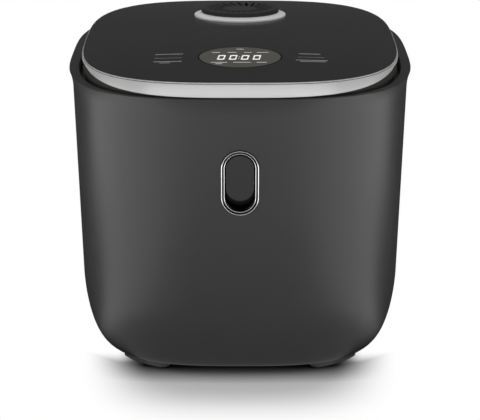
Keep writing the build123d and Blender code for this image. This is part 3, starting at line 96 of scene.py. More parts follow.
class LidSizes(bpy.types.PropertyGroup):
    """Sizes and colours of the lid."""
    half_width: bpy.props.FloatProperty(
        name="Half width", description="Half of the panel's width", default=0.1238, unit="LENGTH")
    half_depth: bpy.props.FloatProperty(
        name="Half depth", description="Half of the panel's depth", default=0.1614, unit="LENGTH")
    edge: bpy.props.FloatProperty(
        name="Edge", description="Height of the panel's edge", default=0.2354, unit="LENGTH")
    crown: bpy.props.FloatProperty(
        name="Crown", description="Rise of the panel's middle", default=0.0055, unit="LENGTH")
    panel_colour: bpy.props.FloatVectorProperty(
        name="Panel colour", description="Colour of the top panel", subtype="COLOR",
        default=(0.015, 0.015, 0.015))
    trim_colour: bpy.props.FloatVectorProperty(
        name="Trim colour", description="Colour of the trim band", subtype="COLOR",
        default=(0.74, 0.73, 0.73))


class DisplaySizes(bpy.types.PropertyGroup):
    """Sizes and colours of the display."""
    place: bpy.props.FloatProperty(
        name="Place", description="Middle of the display", default=-0.0898, unit="LENGTH")
    radius: bpy.props.FloatProperty(
        name="Radius", description="Radius of the window", default=0.0323, unit="LENGTH")
    glass_colour: bpy.props.FloatVectorProperty(
        name="Glass colour", description="Colour of the window", subtype="COLOR",
        default=(0.066, 0.064, 0.054))
    mark_colour: bpy.props.FloatVectorProperty(
        name="Mark colour", description="Colour of the digits", subtype="COLOR",
        default=(0.85, 0.85, 0.83))


class StageSizes(bpy.types.PropertyGroup):
    """Lens and place of the camera."""
    lens: bpy.props.FloatProperty(
        name="Lens", description="Focal length of the camera", default=146.67,
        subtype="DISTANCE_CAMERA")
    distance: bpy.props.FloatProperty(
        name="Distance", description="How far in front the camera stands", default=1.5547,
        unit="LENGTH")
    height: bpy.props.FloatProperty(
        name="Height", description="Height of the camera", default=0.5588, unit="LENGTH")
    pitch: bpy.props.FloatProperty(
        name="Pitch", description="Downward tilt of the camera", default=0.293, subtype="ANGLE")


class CookerSettings(bpy.types.PropertyGroup):
    """All settings of the rice cooker."""
    case: bpy.props.PointerProperty(type=CaseSizes)
    lid: bpy.props.PointerProperty(type=LidSizes)
    display: bpy.props.PointerProperty(type=DisplaySizes)
    stage: bpy.props.PointerProperty(type=StageSizes)


def settings():
    """The scene's rice cooker settings."""
    return bpy.context.scene.rice_cooker


# ------------ modelling helpers
def clear():
    """Leave edit mode and select nothing."""
    if bpy.context.object and bpy.context.object.mode != "OBJECT":
        bpy.ops.object.mode_set(mode="OBJECT")
    bpy.ops.object.select_all(action="DESELECT")


def pick(piece):
    """Make one piece the only one selected."""
    clear()
    piece.hide_set(False)
    piece.select_set(True)
    bpy.context.view_layer.objects.active = piece


def apply_modifier(piece, kind, **values):
    """Give a piece a modifier and apply it."""
    pick(piece)
    modifier = piece.modifiers.new(kind.lower(), kind)
    for name, value in values.items():
        setattr(modifier, name, value)
    bpy.ops.object.modifier_apply(modifier=modifier.name)
    return piece


def edit_all(piece, *steps):
    """Run edit-mode steps on a whole piece."""
    pick(piece)
    bpy.ops.object.mode_set(mode="EDIT")
    bpy.ops.mesh.select_all(action="SELECT")
    for step in steps:
        step()
    bpy.ops.object.mode_set(mode="OBJECT")


def outward(piece):
    """Merge doubled points and turn all faces outwards."""
    edit_all(piece, lambda: bpy.ops.mesh.remove_doubles(threshold=1e-6),
             lambda: bpy.ops.mesh.normals_make_consistent(inside=False))
    return piece


def place(piece, matrix):
    """Move a piece made at the origin to its place, and keep the place in its mesh."""
    pick(piece)
    piece.matrix_world = matrix
    bpy.ops.object.transform_apply(location=True, rotation=True, scale=True)
    return piece


def loft(name, rings, sides=SIDES, power=POWER, ends="join", stretch=0.0):
    """Extrude an oval from ring to ring; ends are joined to each other, filled or left open."""
    clear()
    bpy.ops.mesh.primitive_circle_add(vertices=sides, radius=1, fill_type="NOTHING")
    piece = bpy.context.object
    piece.name = name
    turn = Matrix.Rotation(math.pi / sides, 4, "Z")
    for point in piece.data.vertices:
        point.co = turn @ point.co
        point.co *= (abs(point.co.x) ** power + abs(point.co.y) ** power) ** (-1 / power)
    wide, deep, up = rings[0]
    bpy.ops.object.mode_set(mode="EDIT")
    bpy.ops.mesh.select_mode(type="VERT")
    bpy.ops.mesh.select_all(action="SELECT")
    bpy.ops.transform.resize(value=(wide, deep, 1), center_override=(0, 0, 0))
    bpy.ops.transform.translate(value=(0, 0, up))
    for next_wide, next_deep, next_up in rings[1:]:
        bpy.ops.mesh.extrude_region_move(TRANSFORM_OT_translate={"value": (0, 0, next_up - up)})
        bpy.ops.transform.resize(value=(next_wide / wide, next_deep / deep, 1),
                                 center_override=(0, 0, next_up))
        wide, deep, up = next_wide, next_deep, next_up
    if ends == "join":
        bpy.ops.mesh.select_mode(type="EDGE")
        bpy.ops.mesh.select_all(action="DESELECT")
        bpy.ops.mesh.select_non_manifold(extend=False)
        bpy.ops.mesh.bridge_edge_loops()
    elif ends == "fill":
        bpy.ops.mesh.select_all(action="DESELECT")
        bpy.ops.mesh.select_non_manifold(extend=False)
        bpy.ops.mesh.edge_face_add()
    bpy.ops.object.mode_set(mode="OBJECT")
    if stretch:
        for point in piece.data.vertices:
            point.co.y += math.copysign(stretch / 2, point.co.y)
    return outward(piece)


def pill(name, outline, straight, sides=PILL_SIDES, ends="join"):
    """Model an upright pill from (radius, height) points and a straight length, in millimetres."""
    rings = [(radius * MM, radius * MM, height * MM) for radius, height in outline]
    return loft(name, rings, sides, 2.0, ends, straight * MM)


def turned(name, outline, sides=ROUND_SIDES, ends="join"):
    """Lathe a closed outline of (radius, height) points in millimetres."""
    return pill(name, outline, 0.0, sides, ends)


def cut(piece, cutter, operation="DIFFERENCE"):
    """Cut a piece with another, which is used up."""
    apply_modifier(piece, "BOOLEAN", object=cutter, operation=operation, solver="EXACT")
    bpy.data.objects.remove(cutter)
    return piece


def block_across(front_low, front_high, rear_low, rear_high, width=0.4):
    """A block across the cooker, from the (y, z) of its four long edges, in metres."""
    clear()
    bpy.ops.mesh.primitive_cube_add(size=1)
    block = bpy.context.object
    for point in block.data.vertices:
        low, high = (rear_low, rear_high) if point.co.y > 0 else (front_low, front_high)
        point.co = Vector((point.co.x * width, *(high if point.co.z > 0 else low)))
    return block


def detail(piece, material, node, angle=30):
    """Shade a piece smooth up to an angle in degrees, finish it and let it ride with a node."""
    pick(piece)
    bpy.ops.object.shade_smooth_by_angle(angle=math.radians(angle))
    piece.data.materials.clear()
    piece.data.materials.append(material)
    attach(piece, BODY_OF[node])
    return piece


def finished(piece, material, node, angle=30):
    """Finish a piece that stands in a node's place."""
    detail(piece, material, node, angle)
    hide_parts(node)
    return piece


def rounded_copy(node, material, edge=0.0):
    """Stand a merged, smooth copy of a node in its place, its edges eased by some millimetres."""
    clear()
    source = frame["nodes"][node]
    piece = source.copy()
    piece.data = source.data.copy()
    piece.name = node + "_finished"
    piece.parent = None
    for key in list(piece.keys()):
        del piece[key]
    bpy.context.scene.collection.objects.link(piece)
    edit_all(piece, lambda: bpy.ops.mesh.remove_doubles(threshold=2e-6),
             lambda: bpy.ops.mesh.dissolve_limited(angle_limit=math.radians(0.2)))
    if edge:
        apply_modifier(piece, "BEVEL", width=edge * MM, segments=2, limit_method="ANGLE",
                       angle_limit=math.radians(50), use_clamp_overlap=True)
    return finished(piece, material, node)


# ------------ finishes
CLOUD_SCALE = 22.0           # how fine the slow change of shade is
RELIEF_DEPTH = 0.0001        # how deep the grain's relief is, in metres


def add_nodes(tree, **kinds):
    """Add shader nodes by name."""
    made = {}
    for name, kind in kinds.items():
        made[name] = tree.nodes.new("ShaderNode" + kind)
        made[name].name = name
    return made


def join(tree, source, output, target, socket):
    """Link one node's output to another's input."""
    tree.links.new(source.outputs[output], target.inputs[socket])


def wire(tree, made, *links):
    """Link nodes by name, each link being (source, output, target, input)."""
    for source, output, target, socket in links:
        join(tree, made[source], output, made[target], socket)


def set_operations(made, **operations):
    """Choose what each maths node does."""
    for name, operation in operations.items():
        made[name].operation = operation


def finish_group():
    """Node group that varies a colour and a roughness and gives a fine relief."""
    if "surface_finish" in bpy.data.node_groups:
        return bpy.data.node_groups["surface_finish"]
    group = bpy.data.node_groups.new("surface_finish", "ShaderNodeTree")
    for name, kind, value in (("Color", "NodeSocketColor", (0.5, 0.5, 0.5, 1)),
                              ("Color Spread", "NodeSocketFloat", 0.1),
                              ("Roughness", "NodeSocketFloat", 0.5),
                              ("Roughness Spread", "NodeSocketFloat", 0.1),
                              ("Grain Scale", "NodeSocketFloat", 1500.0),
                              ("Cloud Scale", "NodeSocketFloat", 25.0),
                              ("Stretch", "NodeSocketVector", (1.0, 1.0, 1.0))):
        socket = group.interface.new_socket(name, in_out="INPUT", socket_type=kind)
        socket.default_value = value
    for name, kind in (("Color", "NodeSocketColor"), ("Roughness", "NodeSocketFloat"),
                       ("Height", "NodeSocketFloat")):
        group.interface.new_socket(name, in_out="OUTPUT", socket_type=kind)
    made = add_nodes(group, start="TexCoord", stretch="VectorMath", grain="TexNoise",
                     cloud="TexNoise", least="Math", most="Math", shade="MapRange",
                     value="HueSaturation", rough_cloud="Math", rough_grain="Math",
                     rough_sum="Math", rough_spread="Math", rough="Math")
    made["entry"] = group.nodes.new("NodeGroupInput")
    made["result"] = group.nodes.new("NodeGroupOutput")
    set_operations(made, stretch="MULTIPLY", least="SUBTRACT", most="ADD", rough_cloud="SUBTRACT",
                   rough_grain="SUBTRACT", rough_sum="ADD", rough_spread="MULTIPLY", rough="ADD")
    made["rough"].use_clamp = True
    # brightness runs from 1 - spread to 1 + spread, and roughness by its spread round its middle
    for name, socket, value in (("grain", "Detail", 2.0), ("cloud", "Detail", 4.0),
                                ("least", 0, 1.0), ("most", 0, 1.0),
                                ("shade", "From Min", 0.25), ("shade", "From Max", 0.75),
                                ("rough_cloud", 1, 0.5), ("rough_grain", 1, 0.5)):
        made[name].inputs[socket].default_value = value
    wire(group, made,
         ("start", "Object", "stretch", 0), ("entry", "Stretch", "stretch", 1),
         ("stretch", 0, "grain", "Vector"), ("entry", "Grain Scale", "grain", "Scale"),
         ("stretch", 0, "cloud", "Vector"), ("entry", "Cloud Scale", "cloud", "Scale"),
         ("entry", "Color Spread", "least", 1), ("entry", "Color Spread", "most", 1),
         ("cloud", "Fac", "shade", "Value"), ("least", 0, "shade", "To Min"),
         ("most", 0, "shade", "To Max"), ("entry", "Color", "value", "Color"),
         ("shade", 0, "value", "Value"), ("value", "Color", "result", "Color"),
         ("cloud", "Fac", "rough_cloud", 0), ("grain", "Fac", "rough_grain", 0),
         ("rough_cloud", 0, "rough_sum", 0), ("rough_grain", 0, "rough_sum", 1),
         ("rough_sum", 0, "rough_spread", 0), ("entry", "Roughness Spread", "rough_spread", 1),
         ("entry", "Roughness", "rough", 0), ("rough_spread", 0, "rough", 1),
         ("rough", 0, "result", "Roughness"), ("grain", "Fac", "result", "Height"))
    return group


def finish(name, colour, roughness, colour_spread=0.06, roughness_spread=0.08, grain=1800.0,
           relief=0.02, stretch=(1, 1, 1), metallic=0.0, **shader_values):
    """A finish made from the surface group with its own values."""
    name = "finish_" + name
    if name in bpy.data.materials:
        return bpy.data.materials[name]
    material = bpy.data.materials.new(name)
    material.use_nodes = True
    tree = material.node_tree
    shader = tree.nodes["Principled BSDF"]
    surface = tree.nodes.new("ShaderNodeGroup")
    surface.node_tree = finish_group()
    for socket, value in (("Color", (*colour, 1)), ("Color Spread", colour_spread),
                          ("Roughness", roughness), ("Roughness Spread", roughness_spread),
                          ("Grain Scale", grain), ("Cloud Scale", CLOUD_SCALE),
                          ("Stretch", stretch)):
        surface.inputs[socket].default_value = value
    bump = tree.nodes.new("ShaderNodeBump")
    bump.inputs["Strength"].default_value = relief
    bump.inputs["Distance"].default_value = RELIEF_DEPTH
    join(tree, surface, "Color", shader, "Base Color")
    join(tree, surface, "Roughness", shader, "Roughness")
    join(tree, surface, "Height", bump, "Height")
    join(tree, bump, "Normal", shader, "Normal")
    shader.inputs["Metallic"].default_value = metallic
    for words, value in shader_values.items():
        socket = words.replace("_", " ").title().replace("Ior", "IOR")
        shader.inputs[socket].default_value = value
    return material


def case_plastic():
    """Satin dark grey of the case."""
    return finish("case_plastic", settings().case.colour, 0.42, 0.05, 0.06, relief=0.05)


def panel_plastic():
    """Smooth dark grey of the lid's top."""
    return finish("panel_plastic", settings().lid.panel_colour, 0.22, 0.05, 0.05, relief=0.015,
                  specular_ior_level=0.4)


def satin_silver():
    """Satin silver plating of the trim band."""
    return finish("satin_silver", settings().lid.trim_colour, 0.34, 0.03, 0.06, grain=900.0,
                  relief=0.02, stretch=(0.15, 0.15, 3.0), metallic=0.6)


def foot_plastic():
    """Moulded dark grey of the feet."""
    return finish("foot_plastic", (0.085, 0.085, 0.085), 0.5, 0.06, 0.08, relief=0.08)


def bright_chrome():
    """Bright plating round the button."""
    return finish("bright_chrome", (0.92, 0.92, 0.93), 0.1, 0.02, 0.03, relief=0.01, metallic=1.0)


def black_plastic():
    """Moulded black plastic."""
    return finish("black_plastic", (0.012, 0.012, 0.012), 0.45, 0.10, 0.10, grain=1400.0,
                  relief=0.10)


def gloss_black():
    """Deep black of the button's cup and the display's edge."""
    return finish("gloss_black", (0.003, 0.003, 0.003), 0.3, 0.08, 0.05, specular_ior_level=0.2)


def silver_paint():
    """Silver paint of the ring round the vent."""
    return finish("silver_paint", (0.58, 0.575, 0.57), 0.36, 0.03, 0.06, relief=0.02, metallic=0.3)


def painted_gap_shade():
    """Dull near-black painted shade that stands in the narrow gaps round the button and along the
    band.
    """
    return finish("painted_gap_shade", (0.003, 0.003, 0.003), 0.7, 0.1, 0.08, specular_ior_level=0.1)


def button_plastic():
    """Satin dark grey of the release button."""
    return finish("button_plastic", (0.020, 0.020, 0.0203), 0.45, 0.05, 0.06, relief=0.04,
                  specular_ior_level=0.4)


def cap_plastic():
    """Dull black of the steam cap."""
    return finish("cap_plastic", (0.024, 0.024, 0.024), 0.5, 0.08, 0.08, relief=0.06,
                  specular_ior_level=0.3)


def frame_plastic():
    """Moulded dark grey of the frame inside the rim."""
    return finish("frame_plastic", (0.045, 0.045, 0.045), 0.5, 0.06, 0.08, grain=1400.0,
                  relief=0.08)


def skirt_plastic():
    """Olive grey moulding under the trim band."""
    return finish("skirt_plastic", (0.040, 0.040, 0.033), 0.34, 0.06, 0.06, relief=0.03)


def pad_rubber():
    """Soft black rubber."""
    return finish("pad_rubber", (0.020, 0.020, 0.020), 0.8, 0.12, 0.1, grain=1000.0, relief=0.2)


def grey_silicone():
    """Grey silicone of the seals."""
    return finish("grey_silicone", (0.42, 0.43, 0.43), 0.5, 0.05, 0.08, relief=0.05,
                  subsurface_weight=0.05)


def plated_steel():
    """Plated sheet steel."""
    return finish("plated_steel", (0.55, 0.55, 0.56), 0.32, 0.05, 0.12, grain=900.0,
                  relief=0.04, metallic=1.0)


def spun_aluminium():
    """Rolled or spun aluminium."""
    return finish("spun_aluminium", (0.66, 0.67, 0.68), 0.34, 0.04, 0.12, grain=700.0, relief=0.06,
                  stretch=(1, 1, 6), metallic=1.0)


def dark_steel():
    """Heat-darkened tube."""
    return finish("dark_steel", (0.20, 0.19, 0.18), 0.42, 0.2, 0.12, grain=900.0, relief=0.1,
                  metallic=1.0)


def ceramic():
    """Heat-resisting spacers."""
    return finish("ceramic", (0.68, 0.64, 0.56), 0.6, 0.08, 0.1, relief=0.1)


def heater_cloth():
    """Insulating band round the housing."""
    return finish("heater_cloth", (0.60, 0.57, 0.50), 0.85, 0.12, 0.1, grain=900.0, relief=0.5,
                  stretch=(1, 1, 2.5))


def board_laminate():
    """Green circuit laminate."""
    return finish("board_laminate", (0.02, 0.10, 0.045), 0.38, 0.15, 0.1, grain=1100.0,
                  relief=0.08)


def white_plastic():
    """Natural white moulding of the lever."""
    return finish("white_plastic", (0.62, 0.62, 0.59), 0.45, 0.05, 0.08, relief=0.04)


def window_glass():
    """Smoked olive grey of the display window."""
    return finish("window_glass", settings().display.glass_colour, 0.2, 0.06, 0.04,
                  relief=0.01, coat_weight=0.3, coat_roughness=0.06)


def mark_white():
    """Pale print of the digits and marks."""
    return finish("mark_white", settings().display.mark_colour, 0.4, 0.03, 0.04, relief=0.01)


def mark_soft():
    """Pale grey of the small words on the display."""
    return finish("mark_soft", (0.42, 0.42, 0.41), 0.5, 0.03, 0.03)


def mark_grey():
    """Dimmer print of the touch marks."""
    return finish("mark_grey", (0.22, 0.22, 0.22), 0.4, 0.05, 0.04, relief=0.01)


def pot_coating():
    """Plain dark non-stick coating, which comes with the frame."""
    return bpy.data.materials["pot_coating"]


# ------------ shapes, in millimetres
BODY_HEIGHT, WALL = 217.0, 2.4
FLARE, FLARE_DROP, DRAFT = 2.2, 14.0, 0.033
BASE_ROUND, BASE_INSET, BASE_POWER = 52.0, 14.5, 1.9
LIP_SIDE, LIP_FRONT, LIP_DEPTH = 7.7, 1.4, 3.0  # the rim's opening
HEEL, LEDGE = 2.2, 10.2  # in from the case's underside
INLET_DROP, INLET_WIDTH, INLET_HEIGHT, INLET_DEPTH = 164.0, 28.6, 21.6, 20.0
BUTTON_DROP, BUTTON_STRAIGHT, BUTTON_HOLE = 64.6, 21.8, 13.1
PADDLE_UP, PADDLE_STRAIGHT = 3.55, 14.4  # up from the button's middle
BAND_DRAFT, BEVEL_OUT, BEVEL_HEIGHT, LID_EDGE = 0.125, 0.9, 1.3, 11.4
BAND_FOOT, BAND_RISE, BAND_LEAST = 0.6, 0.108, 8.4  # the band's lower edge
PANEL_THICK, PANEL_INSET, PANEL_EASE = 2.6, 2.2, 0.25
PANEL_MIDDLE = 0.004  # share closed by one face
WINDOW_GAP, WINDOW_BEVEL, WINDOW_EDGE = 0.15, 0.3, 1.2
VENT_Y, VENT_WELL, VENT_BORE = 74.0, 38.5, 27.1
SLOT_COUNT, SLOT_RADIUS, SLOT_LENGTH, SLOT_OUT = 24, 1.15, 11.1, 21.0
SLOT_TURN = 0.3  # in radians
MARK_LIFT, MARK_THICK = 0.02, 0.04


def wall_inset(drop):
    """How far the case lies in from its rim at a drop below it, in millimetres."""
    inset = FLARE * (1 - max(0.0, 1 - drop / FLARE_DROP) ** 2) + DRAFT * drop
    share = min(1.0, max(0.0, drop - BODY_HEIGHT + BASE_ROUND) / BASE_ROUND)
    return inset + BASE_INSET * (1 - (1 - share ** BASE_POWER) ** (1 / BASE_POWER))


def case_ring(inset, drop):
    """Ring of the case at an inset and a drop below the rim, both in millimetres."""
    sizes = settings().case
    return (sizes.half_width - inset * MM, sizes.half_depth - inset * MM, sizes.rim - drop * MM)


def band_ring(up, inset=0.0):
    """Ring of the trim band at a height above the rim, in millimetres."""
    lid = settings().lid
    grow = (BEVEL_OUT + BAND_DRAFT * (LID_EDGE - BEVEL_HEIGHT - up) - inset) * MM
    return (lid.half_width + grow, lid.half_depth + grow, settings().case.rim + up * MM)


def crown_height(share):
    """Height of the lid's crowned top at a share of its size."""
    lid = settings().lid
    return lid.edge + lid.crown * (1 - share ** 2)


def crown_ring(share, drop=0.0, inset=0.0):
    """Ring of the lid's crowned top, or of a face a drop below it, at a share of its size."""
    lid = settings().lid
    return (share * (lid.half_width - inset * MM), share * (lid.half_depth - inset * MM),
            crown_height(share) - drop * MM)


def crown_shares(count):
    """Shares of the lid's size, closer together towards its edge."""
    return [math.sin(math.pi / 2 * step / count) for step in range(1, count)]


def leaning(origin, x_axis, z_axis):
    """Matrix of a place whose Z is a leaning wall's outward direction."""
    z_axis = Vector(z_axis).normalized()
    x_axis = Vector(x_axis).normalized()
    y_axis = z_axis.cross(x_axis)
    turn = Matrix((x_axis, y_axis, z_axis)).transposed().to_4x4()
    return Matrix.Translation(Vector(origin)) @ turn


def button_place():
    """Place of the release button on the front wall."""
    sizes = settings().case
    origin = (0, wall_inset(BUTTON_DROP) * MM - sizes.half_depth, sizes.rim - BUTTON_DROP * MM)
    return leaning(origin, (1, 0, 0), (0, -1, -DRAFT))


def inlet_place():
    """Place of the power inlet on the rear wall."""
    sizes = settings().case
    origin = (0, sizes.half_depth - wall_inset(INLET_DROP) * MM, sizes.rim - INLET_DROP * MM)
    return leaning(origin, (-1, 0, 0), (0, 1, -DRAFT))


def vent_place():
    """Place of the steam vent on the lid."""
    lid = settings().lid
    y = VENT_Y * MM
    slope = 2 * lid.crown * y / lid.half_depth ** 2
    return leaning((0, y, crown_height(y / lid.half_depth)), (1, 0, 0), (0, slope, 1))


# ------------ pieces
class COOKER_OT_case(bpy.types.Operator):
    """Model the case, with its flare, lip and rounded base"""
    bl_idname = "cooker.case"
    bl_label = "Case"

    def execute(self, context):
        sizes = settings().case
        base = wall_inset(BODY_HEIGHT)
        heel, ledge = base + HEEL, base + LEDGE
        # the outside, from the underside up to the rim
        rings = [case_ring(heel, BODY_HEIGHT - WALL), case_ring(heel, BODY_HEIGHT - 0.3),
                 case_ring(heel - 0.3, BODY_HEIGHT)]
        drops = [BODY_HEIGHT - BASE_ROUND * (1 - math.cos(math.pi / 2 * step / 24))
                 for step in range(25)]
        drops += [BODY_HEIGHT - BASE_ROUND - 12 * step for step in range(1, 13)]
        drops += [FLARE_DROP * (1 - step / 14) for step in range(14)]
        rings += [case_ring(wall_inset(drop), drop) for drop in drops]
        rings += [case_ring(0.02, 0.35), case_ring(0.12, 0.12), case_ring(0.35, 0)]
        # the lip, then the inside down to the ledge that holds the base plate
        lip_wide, lip_deep = sizes.half_width - LIP_SIDE * MM, sizes.half_depth - LIP_FRONT * MM
        rings += [(lip_wide + grow * MM, lip_deep + grow * MM, sizes.rim - drop * MM)
                  for grow, drop in ((0.2, 0), (0, 0.2), (-1.35, LIP_DEPTH))]
        inner_drops = (LIP_DEPTH, 8, 14, 60, 110, 165, 180, 195, 205, BODY_HEIGHT - 2 * WALL)
        rings += [case_ring(wall_inset(drop) + WALL, drop) for drop in inner_drops]
        rings += [case_ring(ledge, BODY_HEIGHT - 2 * WALL), case_ring(ledge, BODY_HEIGHT - WALL)]
        case = loft("case", rings)
        hole = pill("hole", [(BUTTON_HOLE, 4), (BUTTON_HOLE, -12)], BUTTON_STRAIGHT, 64, "fill")
        cut(case, place(hole, button_place()))
        clear()
        bpy.ops.mesh.primitive_cube_add(size=1)
        socket = bpy.context.object
        socket.scale = (INLET_WIDTH * MM, INLET_HEIGHT * MM, INLET_DEPTH * MM)
        bpy.ops.object.transform_apply(scale=True)
        cut(case, place(socket, inlet_place()))
        finished(case, case_plastic(), "outer_shell", angle=35)
        return {"FINISHED"}


class COOKER_OT_base(bpy.types.Operator):
    """Finish the base plate, the feet and their pads"""
    bl_idname = "cooker.base"
    bl_label = "Base and feet"

    def execute(self, context):
        rounded_copy("base_plate", black_plastic())
        for corner in ("front_left", "front_right", "rear_left", "rear_right"):
            rounded_copy("foot_" + corner, foot_plastic())
            rounded_copy("foot_pad_" + corner, pad_rubber())
        rounded_copy("base_screws", plated_steel())
        return {"FINISHED"}


class COOKER_OT_lid_panel(bpy.types.Operator):
    """Model the crowned top panel with its openings"""
    bl_idname = "cooker.lid_panel"
    bl_label = "Lid panel"

    def execute(self, context):
        lid = settings().lid
        display = settings().display
        rings = [crown_ring(share) for share in (PANEL_MIDDLE, *crown_shares(26))]
        rings += [(lid.half_width - inset * MM, lid.half_depth - inset * MM, lid.edge - drop * MM)
                  for inset, drop in ((PANEL_EASE, -0.02), (0, PANEL_EASE), (0, PANEL_THICK),
                                      (PANEL_INSET, PANEL_THICK))]
        rings += [crown_ring(share, PANEL_THICK, PANEL_INSET)
                  for share in (*reversed(crown_shares(12)), PANEL_MIDDLE)]
        panel = loft("panel", rings, ends="fill")
        bore = display.radius / MM + WINDOW_GAP
        window = turned("window", [(bore, 0), (bore, 30)], ends="fill")
        cut(panel, place(window, Matrix.Translation((0, display.place, lid.edge - 15 * MM))))
        for radius, low in ((VENT_WELL, -1), (VENT_BORE, -10)):
            well = turned("well", [(radius, low), (radius, 20)], ends="fill")
            cut(panel, place(well, vent_place()))
        finished(panel, panel_plastic(), "lid_panel", angle=25)
        return {"FINISHED"}


class COOKER_OT_lid_trim(bpy.types.Operator):
    """Model the trim band, deepest at the front"""
    bl_idname = "cooker.lid_trim"
    bl_label = "Trim band"

    def execute(self, context):
        lid = settings().lid
        rim = settings().case.rim
        top = LID_EDGE - BEVEL_HEIGHT
        bevel_foot = band_ring(top + 0.12, 0.2)
        upper = [(lid.half_width + grow * MM, lid.half_depth + grow * MM, lid.edge - drop * MM)
                 for grow, drop in ((0.35, 0.08), (0.2, 0), (0.1, 0.1), (0.1, PANEL_THICK))]
        rings = [band_ring(BAND_FOOT - 2, 1.5), band_ring(BAND_FOOT - 2), band_ring(top - 0.15),
                 band_ring(top, 0.05), bevel_foot, *upper, band_ring(LID_EDGE - PANEL_THICK, 1.5)]
        band = loft("trim_band", rings)
        # the lower edge rises from the front, then runs level
        front = -band_ring(BAND_FOOT)[1]
        level = front + (BAND_LEAST - BAND_FOOT) / BAND_RISE * MM
        before, below, above = front - 3 * MM, rim - 10 * MM, rim + BAND_LEAST * MM
        cut(band, block_across((before, below), (before, rim + (BAND_FOOT - 3 * BAND_RISE) * MM),
                               (level, below), (level, above)))
        start, end = level - 0.01 * MM, 0.2
        cut(band, block_across((start, below), (start, above), (end, below), (end, above)))
        finished(band, satin_silver(), "lid_trim", angle=25)
        # a fine black line of painted shade along the foot of the bevel
        inner, outer = [tuple(low + (high - low) * share for low, high in zip(bevel_foot, upper[0]))
                        for share in (0.02, 0.32)]
        strip = [(wide, deep, up + lift * MM) for (wide, deep, up), lift in
                 ((inner, 0.03), (outer, 0.03), (outer, -0.06), (inner, -0.06))]
        detail(loft("trim_groove_shade", strip), painted_gap_shade(), "lid_trim")
        return {"FINISHED"}


class COOKER_OT_lid_underside(bpy.types.Operator):
    """Finish the lid's moulding, plate, gasket, hook and screws"""
    bl_idname = "cooker.lid_underside"
    bl_label = "Underside of the lid"

    def execute(self, context):
        rounded_copy("lid_base", skirt_plastic())
        rounded_copy("inner_lid", spun_aluminium())
        rounded_copy("lid_gasket", grey_silicone())
        rounded_copy("lid_hook", plated_steel(), 0.2)
        rounded_copy("lid_screws", plated_steel())
        return {"FINISHED"}


def lay_on_lid(piece):
    """Drop flat marks on the lid's crown and give them a thickness."""
    lid = settings().lid
    for point in piece.data.vertices:
        x, y = point.co.x / lid.half_width, point.co.y / lid.half_depth
        share = (abs(x) ** POWER + abs(y) ** POWER) ** (1 / POWER)
        point.co.z = crown_height(share) + MARK_LIFT * MM
    return apply_modifier(piece, "SOLIDIFY", thickness=MARK_THICK * MM, offset=1)


def flat_bar(x, y, length, width, turn=0.0):
    """A flat bar with pointed ends at a place on the lid, in millimetres."""
    clear()
    bpy.ops.mesh.primitive_circle_add(vertices=6, radius=1, fill_type="NGON")
    bar = bpy.context.object
    end, shoulder = length / 2, (length - width) / 2
    corners = [(-end, 0), (-shoulder, width / 2), (shoulder, width / 2),
               (end, 0), (shoulder, -width / 2), (-shoulder, -width / 2)]
    spot = Matrix.Translation((x, y, 0)) @ Matrix.Rotation(math.radians(turn), 4, "Z")
    for point, corner in zip(bar.data.vertices, corners):
        point.co = spot @ Vector((*corner, 0)) * MM
    edit_all(bar, lambda: bpy.ops.mesh.normals_make_consistent(inside=False))
    if bar.data.polygons[0].normal.z < 0:
        edit_all(bar, bpy.ops.mesh.flip_normals)
    return bar


def joined(name, pieces):
    """Join pieces into one."""
    clear()
    for piece in pieces:
        piece.select_set(True)
    bpy.context.view_layer.objects.active = pieces[0]
    bpy.ops.object.join()
    pieces[0].name = name
    return pieces[0]


class COOKER_OT_display(bpy.types.Operator):
    """Model the display window, its digits and marks"""
    bl_idname = "cooker.display"
    bl_label = "Display"

    def execute(self, context):
        display = settings().display
        lid = settings().lid
        radius = display.radius / MM
        pane = [(0.2, 0), (radius - WINDOW_BEVEL, 0), (radius, WINDOW_BEVEL), (radius, 20),
                (0.2, 20)]
        window = turned("window_pane", pane, ends="fill")
        place(window, Matrix.Translation((0, display.place, lid.edge - 2 * MM)))
        rings = [(0.13, 0.17, lid.edge - 20 * MM), (lid.half_width, lid.half_depth, lid.edge)]
        rings += [crown_ring(share) for share in reversed(crown_shares(26))]
        cut(window, loft("crown", rings, ends="fill"), "INTERSECT")
        finished(window, window_glass(), "display_window", angle=40)
        y = display.place / MM
        # four digits of zero and a colon, drawn upright and then slanted
        middle, tall, wide, stroke, slant = y - 2, 14.0, 5.6, 1.15, 0.10
        thick, half = stroke * 2.4, tall / 2 - 0.4
        segments = []
        for x in (-14.0, -5.0, 4.1, 13.1):
            for side in (-1, 1):
                across = x + side * (wide - stroke) / 2
                segments += [flat_bar(x, middle + side * (tall - thick) / 2, wide - 0.5, thick),
                             flat_bar(across, middle + tall / 4, half, stroke, 90),
                             flat_bar(across, middle - tall / 4, half, stroke, 90)]
        segments += [flat_bar(-0.45, middle + up, 1.2, 1.19) for up in (-3, 3)]
        digits = joined("display_digits", segments)
        for point in digits.data.vertices:
            point.co.x += slant * (point.co.y - display.place)
        detail(lay_on_lid(digits), mark_white(), "display_window")
        # each word is a bar: across, up from the display's middle, length
        words = [(0, 24.0, 6.5), (-18.5, 13.6, 7), (-6.2, 13.6, 7.5), (5.9, 13.6, 6.5),
                 (17.5, 13.6, 9.5), (-16.0, -16.5, 13), (1.5, -16.5, 14), (16.5, -16.5, 8.5),
                 (-16, -20.5, 6)]
        bars = [flat_bar(x, y + up, length, 1.6) for x, up, length in words]
        detail(lay_on_lid(joined("display_marks", bars)), mark_soft(), "display_window")
        inner = radius - WINDOW_EDGE
        edge = turned("display_edge", [(inner, -0.2), (radius, -0.2), (radius, 0.2), (inner, 0.2)])
        place(edge, Matrix.Translation((0, display.place, 0)))
        detail(lay_on_lid(edge), gloss_black(), "display_window")
        return {"FINISHED"}


